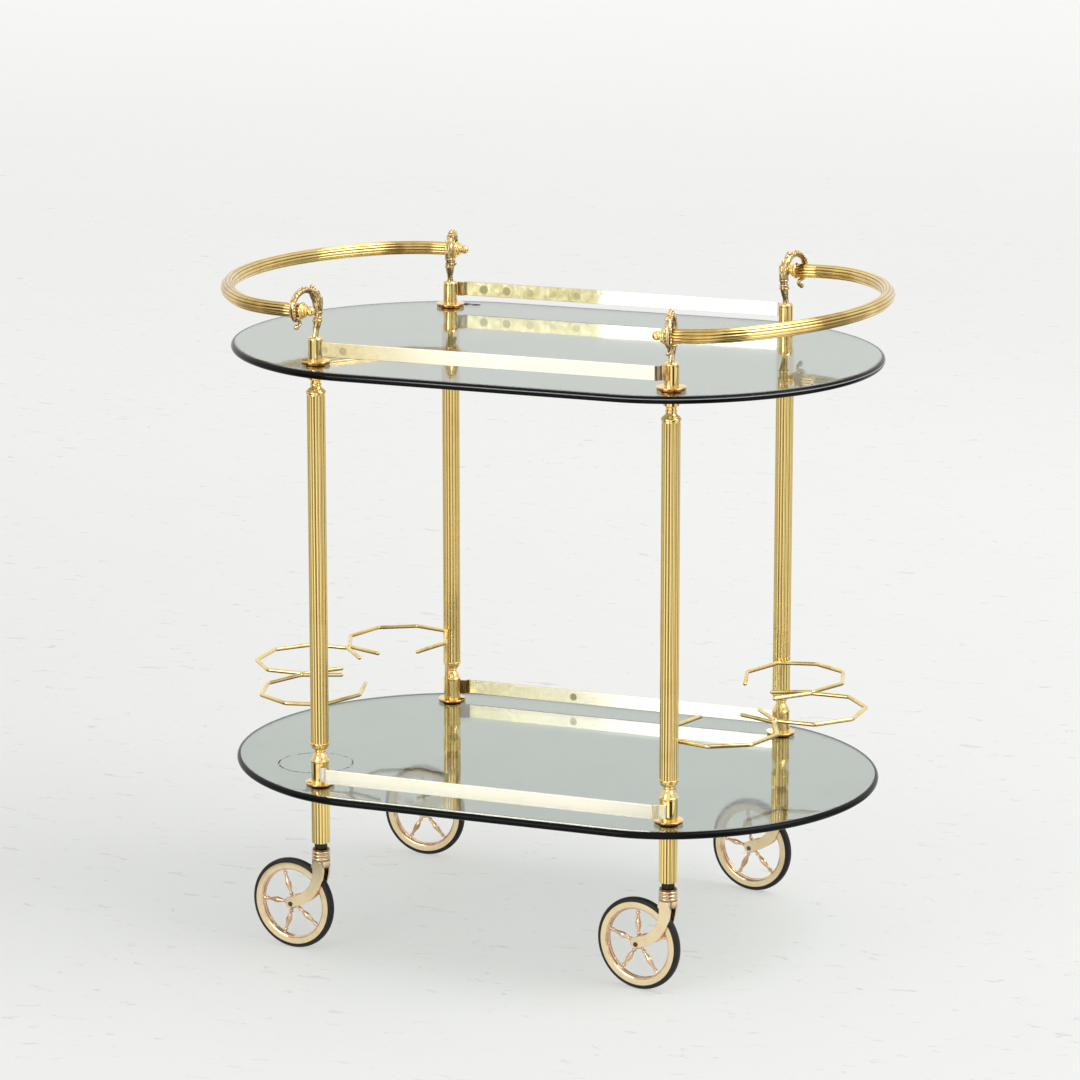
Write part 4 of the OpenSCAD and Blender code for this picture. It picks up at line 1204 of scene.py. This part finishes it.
for key in posts:
    body, node, stand = "caster_" + key, "fork_" + key, at_caster(key)
    arms = [moved(plate(arm_outline(), way * arm_in, way * arm_out), stood_up) for way in (-1, 1)]
    piece = make_piece("fork_arms_" + key, moved(added(*arms), stand), plate_brass, collar_brass,
                       soft_angle=30, bevel=0.55, bevel_finish=1)
    place(piece, body, "brass_satin", node)
    for label, part, finish in (("ribbed_collar_", added(collar, skirt), collar_brass),
                                ("collar_flare_", flare, flare_brass)):
        piece = make_piece(label + key, moved(shifted(part, 0, 0, collar_z), stand), finish)
        shade_below(piece)
        place(piece, body, "brass_satin", node)
    place(make_piece("axle_pin_" + key, moved(pin, at_wheel(key)), axle_brass),
          body, "brass_dark", "axle_" + key)
print("forks, collars and pins made")

# %% [markdown]
# ## Wheels
# The wheel is a flat satin rim with a polished hollow inside it, a hub and five turned
# spokes. The spokes repeat round the hub, so Geometry Nodes place one turned spoke five
# times, each wheel with its own first angle.

# %% The tree of spokes
spokes_tree, k_in, k_out = new_group(
    "spokes round a hub", "GeometryNodeTree",
    [("Geometry", GEOMETRY, None), ("Count", "NodeSocketInt", 5), ("First Angle", FLOAT, 0.0),
     ("Material", MATERIAL, None)],
    [("Geometry", GEOMETRY)])
hubs = add(spokes_tree, "GeometryNodeMeshLine",
           {"Count": k_in.outputs["Count"], "Offset": (0.0, 0.0, 0.0)})
share = calc(spokes_tree, "DIVIDE", add(spokes_tree, "GeometryNodeInputIndex").outputs[0],
             k_in.outputs["Count"])
spin = calc(spokes_tree, "MULTIPLY_ADD", share, 2 * math.pi, k_in.outputs["First Angle"])
spun = add(spokes_tree, "GeometryNodeInstanceOnPoints",
           {"Points": hubs.outputs[0], "Instance": k_in.outputs["Geometry"],
            "Rotation": add(spokes_tree, "ShaderNodeCombineXYZ", {2: spin}).outputs[0]})
finish_tree(spokes_tree, spun, k_in, k_out)

# %% Rim, hub, spokes and tyre
tyre_in, rim_in, cove, half_w = 46.2, 37.8, 2.4, 4.4
face_r, spoke_in = rim_in + cove, 5.5
reach = rim_in + 0.9 - spoke_in
spoke_first = {"fl": 36, "fr": 20, "bl": 24, "br": 28}
# The spoke's radius, and its place as a share of its reach; the runs meet at the corners.
spoke_run = [(0, 0), (1.9, 0), (1.6, 0.08), (1.5, 0.10), (2.2, 0.13), (2.4, 0.155), (2.2, 0.18),
             (1.5, 0.21), (1.7, 0.26), (2.6, 0.35), (3.3, 0.45), (3.2, 0.53), (2.3, 0.64),
             (1.6, 0.76), (1.5, 0.80), (2.2, 0.83), (2.4, 0.855), (2.2, 0.88), (1.5, 0.91),
             (1.8, 0.96), (2.3, 1.0), (0, 1.0)]
spoke_cuts = ((0, 2), (2, 4), (4, 8), (8, 15), (15, 19), (19, 21), (21, 22))
spoke = turn(*[[(r, spoke_in + t * reach) for r, t in spoke_run[a:b]] for a, b in spoke_cuts],
             sides=24, steps=3)
spoke = moved(spoke, rotated(90, "Y"))
f, i, w = face_r, rim_in, half_w   # short names for the profiles below
rim = turn([(tyre_in, -w), (f, -w)],
           [(f - 0.7, -w + 0.25), (f - 1.7, -w + 0.9), (i, -w + 2.4)],
           [(i + 0.5, -1.0), (i + 0.6, 0), (i + 0.5, 1.0), (i, w - 2.4)],
           [(f - 1.7, w - 0.9), (f - 0.7, w - 0.25), (f, w)],
           [(tyre_in, w)], [(tyre_in, -w)], sides=128)
hub = turn([(2.3, -4.7), (5.2, -4.7)], [(6.0, -4.3), (6.2, -3.4), (6.5, -2.4)],
           [(6.5, 2.4)], [(6.2, 3.4), (6.0, 4.3), (5.2, 4.7)],
           [(2.3, 4.7)], [(2.3, -4.7)], sides=48)
tread = turn([(tyre_in, -w), (47.6, -w)],
             [(49.2, -3.9), (50.4, -2.9), (50.9, -1.6), (51, 0), (50.9, 1.6),
              (50.4, 2.9), (49.2, 3.9), (47.6, w)],
             [(tyre_in, w)], [(tyre_in, -w)], sides=128)
for key in posts:
    stand = at_wheel(key)
    body = "rolling_wheel_" + key
    part = added(rim, hub)
    piece = make_piece("wheel_rim_" + key, moved(part, stand), plate_brass, spoke_brass)
    piece.data.polygons.foreach_set("material_index", [
        int(max(math.hypot(*part[0][k][:2]) for k in face) < face_r + 0.1) for face in part[1]])
    place(piece, body, "brass_satin", "wheel_" + key)
    metres = stand.copy()
    metres.translation *= MM
    piece = grown("turned_spokes_" + key, mesh_of("spoke", spoke[0], faces=spoke[1]), spokes_tree,
                  {"Count": 5, "First Angle": math.radians(spoke_first[key]),
                   "Material": spoke_brass}, matrix=metres)
    place(piece, body, "brass_satin", "wheel_" + key)
    place(make_piece("rubber_tread_" + key, moved(tread, stand), tyre_rubber), body,
          "tyre_rubber", "tyre_" + key)
print("wheels made, spokes at", spoke_first)

# %% [markdown]
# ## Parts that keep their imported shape
# The threaded rods are hidden inside the posts and the bushes are plain turned steel, so
# their solids are good as they are. They only get a finish.

# %% Rods and bushes
for node, finish in (("tie_rods", rod_steel), ("caster_stems", bush_metal)):
    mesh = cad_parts[node].data
    mesh.materials.clear()
    mesh.materials.append(finish)
print("rods and bushes finished")

# %% [markdown]
# ## Floor, light and camera
# The trolley stands on a seamless pale floor that runs far past the picture, so every
# view has the same ground. A big soft lamp stands high on the right and a smaller one low
# on the left. The world gives an even level to matt surfaces, and mirrors see a studio:
# white screens with dark gaps, which draw the dark bands that make brass look polished.

# %% What mirrors see
# Each stop is a bearing in degrees and a brightness.
SCREENS = ((-180, 0.70), (-156, 0.70), (-151, 0.02), (-129, 0.02), (-124, 1.2), (-91, 1.2),
           (-88, 0.5), (-84, 0.5), (-80, 1.5), (-58, 1.5), (-54, 0.02), (-30, 0.02), (-26, 1.1),
           (12, 1.1), (20, 0.30), (46, 0.30), (56, 1.0), (160, 1.0), (170, 0.70), (180, 0.70))


def screens(tree, direction):
    """The brightness of the studio in each direction round the trolley, for mirrors only."""
    axes = axes_of(tree, direction)
    turned_by = calc(tree, "ARCTAN2", axes["Y"], axes["X"])
    ring = add(tree, "ShaderNodeValToRGB",
               {"Fac": calc(tree, "MULTIPLY_ADD", turned_by, 0.5 / math.pi, 0.5)})
    stops = ring.color_ramp.elements
    while len(stops) < len(SCREENS):
        stops.new(0.5)
    for stop, (degrees, tone) in zip(stops, SCREENS):
        stop.position = degrees / 360 + 0.5
        stop.color = (tone, tone * 0.985, tone * 0.97, 1)
    return ring.outputs["Color"]


# %% Floor
def floor_material():
    """Pale and even. Its glow is seen, but lights nothing, so shadows stay soft."""
    material, tree, where = blank("pale floor")
    do, mixed = partial(calc, tree), partial(blend_colour, tree)
    far = axes_of(tree, where)["Y"]
    path = add(tree, "ShaderNodeLightPath").outputs
    beyond = do("MULTIPLY", ramp(tree, length_of(tree, where), 0.5, 0.7), path["Is Glossy Ray"])
    seen = mixed(beyond, (1, 1, 1, 1), screens(tree, where))
    slant = add(tree, "ShaderNodeMapping",
                {"Vector": where, "Rotation": (0, 0, 0.6), "Scale": (1, 2.6, 1)}).outputs[0]
    marks = noise(tree, slant, 26.0, 5.0, Roughness=0.65, Distortion=0.8)
    wear_and_reflection = do("MULTIPLY", ramp(tree, marks, 0.62, 0.67), 0.30)
    seen = mixed(wear_and_reflection, seen, (0.55, 0.55, 0.52, 1))
    paint = mixed(noise(tree, where, 3.0, 5.0), (0.35, 0.35, 0.345, 1), (0.375, 0.375, 0.365, 1))
    glow = mixed(ramp(tree, far, -0.4, 3.0), (0.475, 0.48, 0.465, 1), (0.605, 0.61, 0.595, 1))
    glow = mixed(ramp(tree, far, 3.0, 10.0), glow, (0.71, 0.71, 0.69, 1))
    shown = do("MAXIMUM", do("MAXIMUM", path["Is Camera Ray"], path["Is Glossy Ray"]),
               path["Is Transmission Ray"])
    glow = mixed(shown, (0, 0, 0, 1), glow)
    return surfaced(material, {"Base Color": mixed(1.0, paint, seen, "MULTIPLY"),
                               "Roughness": 0.85, "Specular IOR Level": 0.2,
                               "Emission Color": mixed(1.0, glow, seen, "MULTIPLY"),
                               "Emission Strength": 1.0})


half = 30.0
ground = bpy.data.meshes.new("floor")
ground.from_pydata([(-half, -half, 0), (half, -half, 0), (half, half, 0), (-half, half, 0)], [],
                   [(0, 1, 2, 3)])
ground.materials.append(floor_material())
floor = in_scene("floor", ground)
print("floor", 2 * half, "m square")


# %% Lamps and world
def soft_lamp(name, spot, size, watts):
    """A square soft lamp that faces the trolley, unseen by the camera itself."""
    light = bpy.data.lights.new(name, "AREA")
    light.size, light.energy = size, watts
    stand = in_scene(name, light)
    stand.location = spot
    facing = Vector((0, 0, 0.4)) - stand.location
    stand.rotation_euler = facing.to_track_quat("-Z", "Y").to_euler()
    stand.visible_camera = False


soft_lamp("high lamp on the right", (2.4, 0.0, 3.2), 2.6, 95.0)
soft_lamp("low lamp on the left", (-1.15, -3.0, 1.35), 1.7, 28.0)

world = bpy.data.worlds.new("studio")
bpy.context.scene.world = world
world.use_nodes = True
sky = world.node_tree
sky.nodes.clear()
way = add(sky, "ShaderNodeTexCoord").outputs["Generated"]
overhead = ramp(sky, axes_of(sky, way)["Z"], 0.42, 0.62)
CEILING = (0.93, 0.94, 0.93, 1)
faint = blend_colour(sky, 0.68, screens(sky, way), CEILING)
screen = blend_colour(sky, overhead, faint, CEILING)
path = add(sky, "ShaderNodeLightPath").outputs
plain = calc(sky, "MAXIMUM", path["Is Camera Ray"], path["Is Transmission Ray"])
tone = blend_colour(sky, path["Is Glossy Ray"], (0.55, 0.56, 0.56, 1), screen)
tone = blend_colour(sky, plain, tone, (0.90, 0.91, 0.90, 1))
glow = add(sky, "ShaderNodeBackground", {"Color": tone, "Strength": 1.0})
sky.links.new(glow.outputs[0], add(sky, "ShaderNodeOutputWorld").inputs["Surface"])
print("two soft lamps and a studio world")

# %% Camera
eye = bpy.data.cameras.new("camera")
eye.lens, eye.sensor_width = 150.7, 36.0
camera = in_scene("camera", eye)
yaw, pitch = math.radians(21.21), math.radians(12.97)
camera.matrix_world = (Matrix.Translation((1.743, -4.538, 1.561)) @ Matrix.Rotation(yaw, 4, "Z")
                       @ Matrix.Rotation(math.pi / 2 - pitch, 4, "X"))
bpy.context.scene.camera = camera
bpy.context.scene.view_settings.view_transform = "Standard"
print("camera looks down by", round(math.degrees(pitch), 1), "degrees")
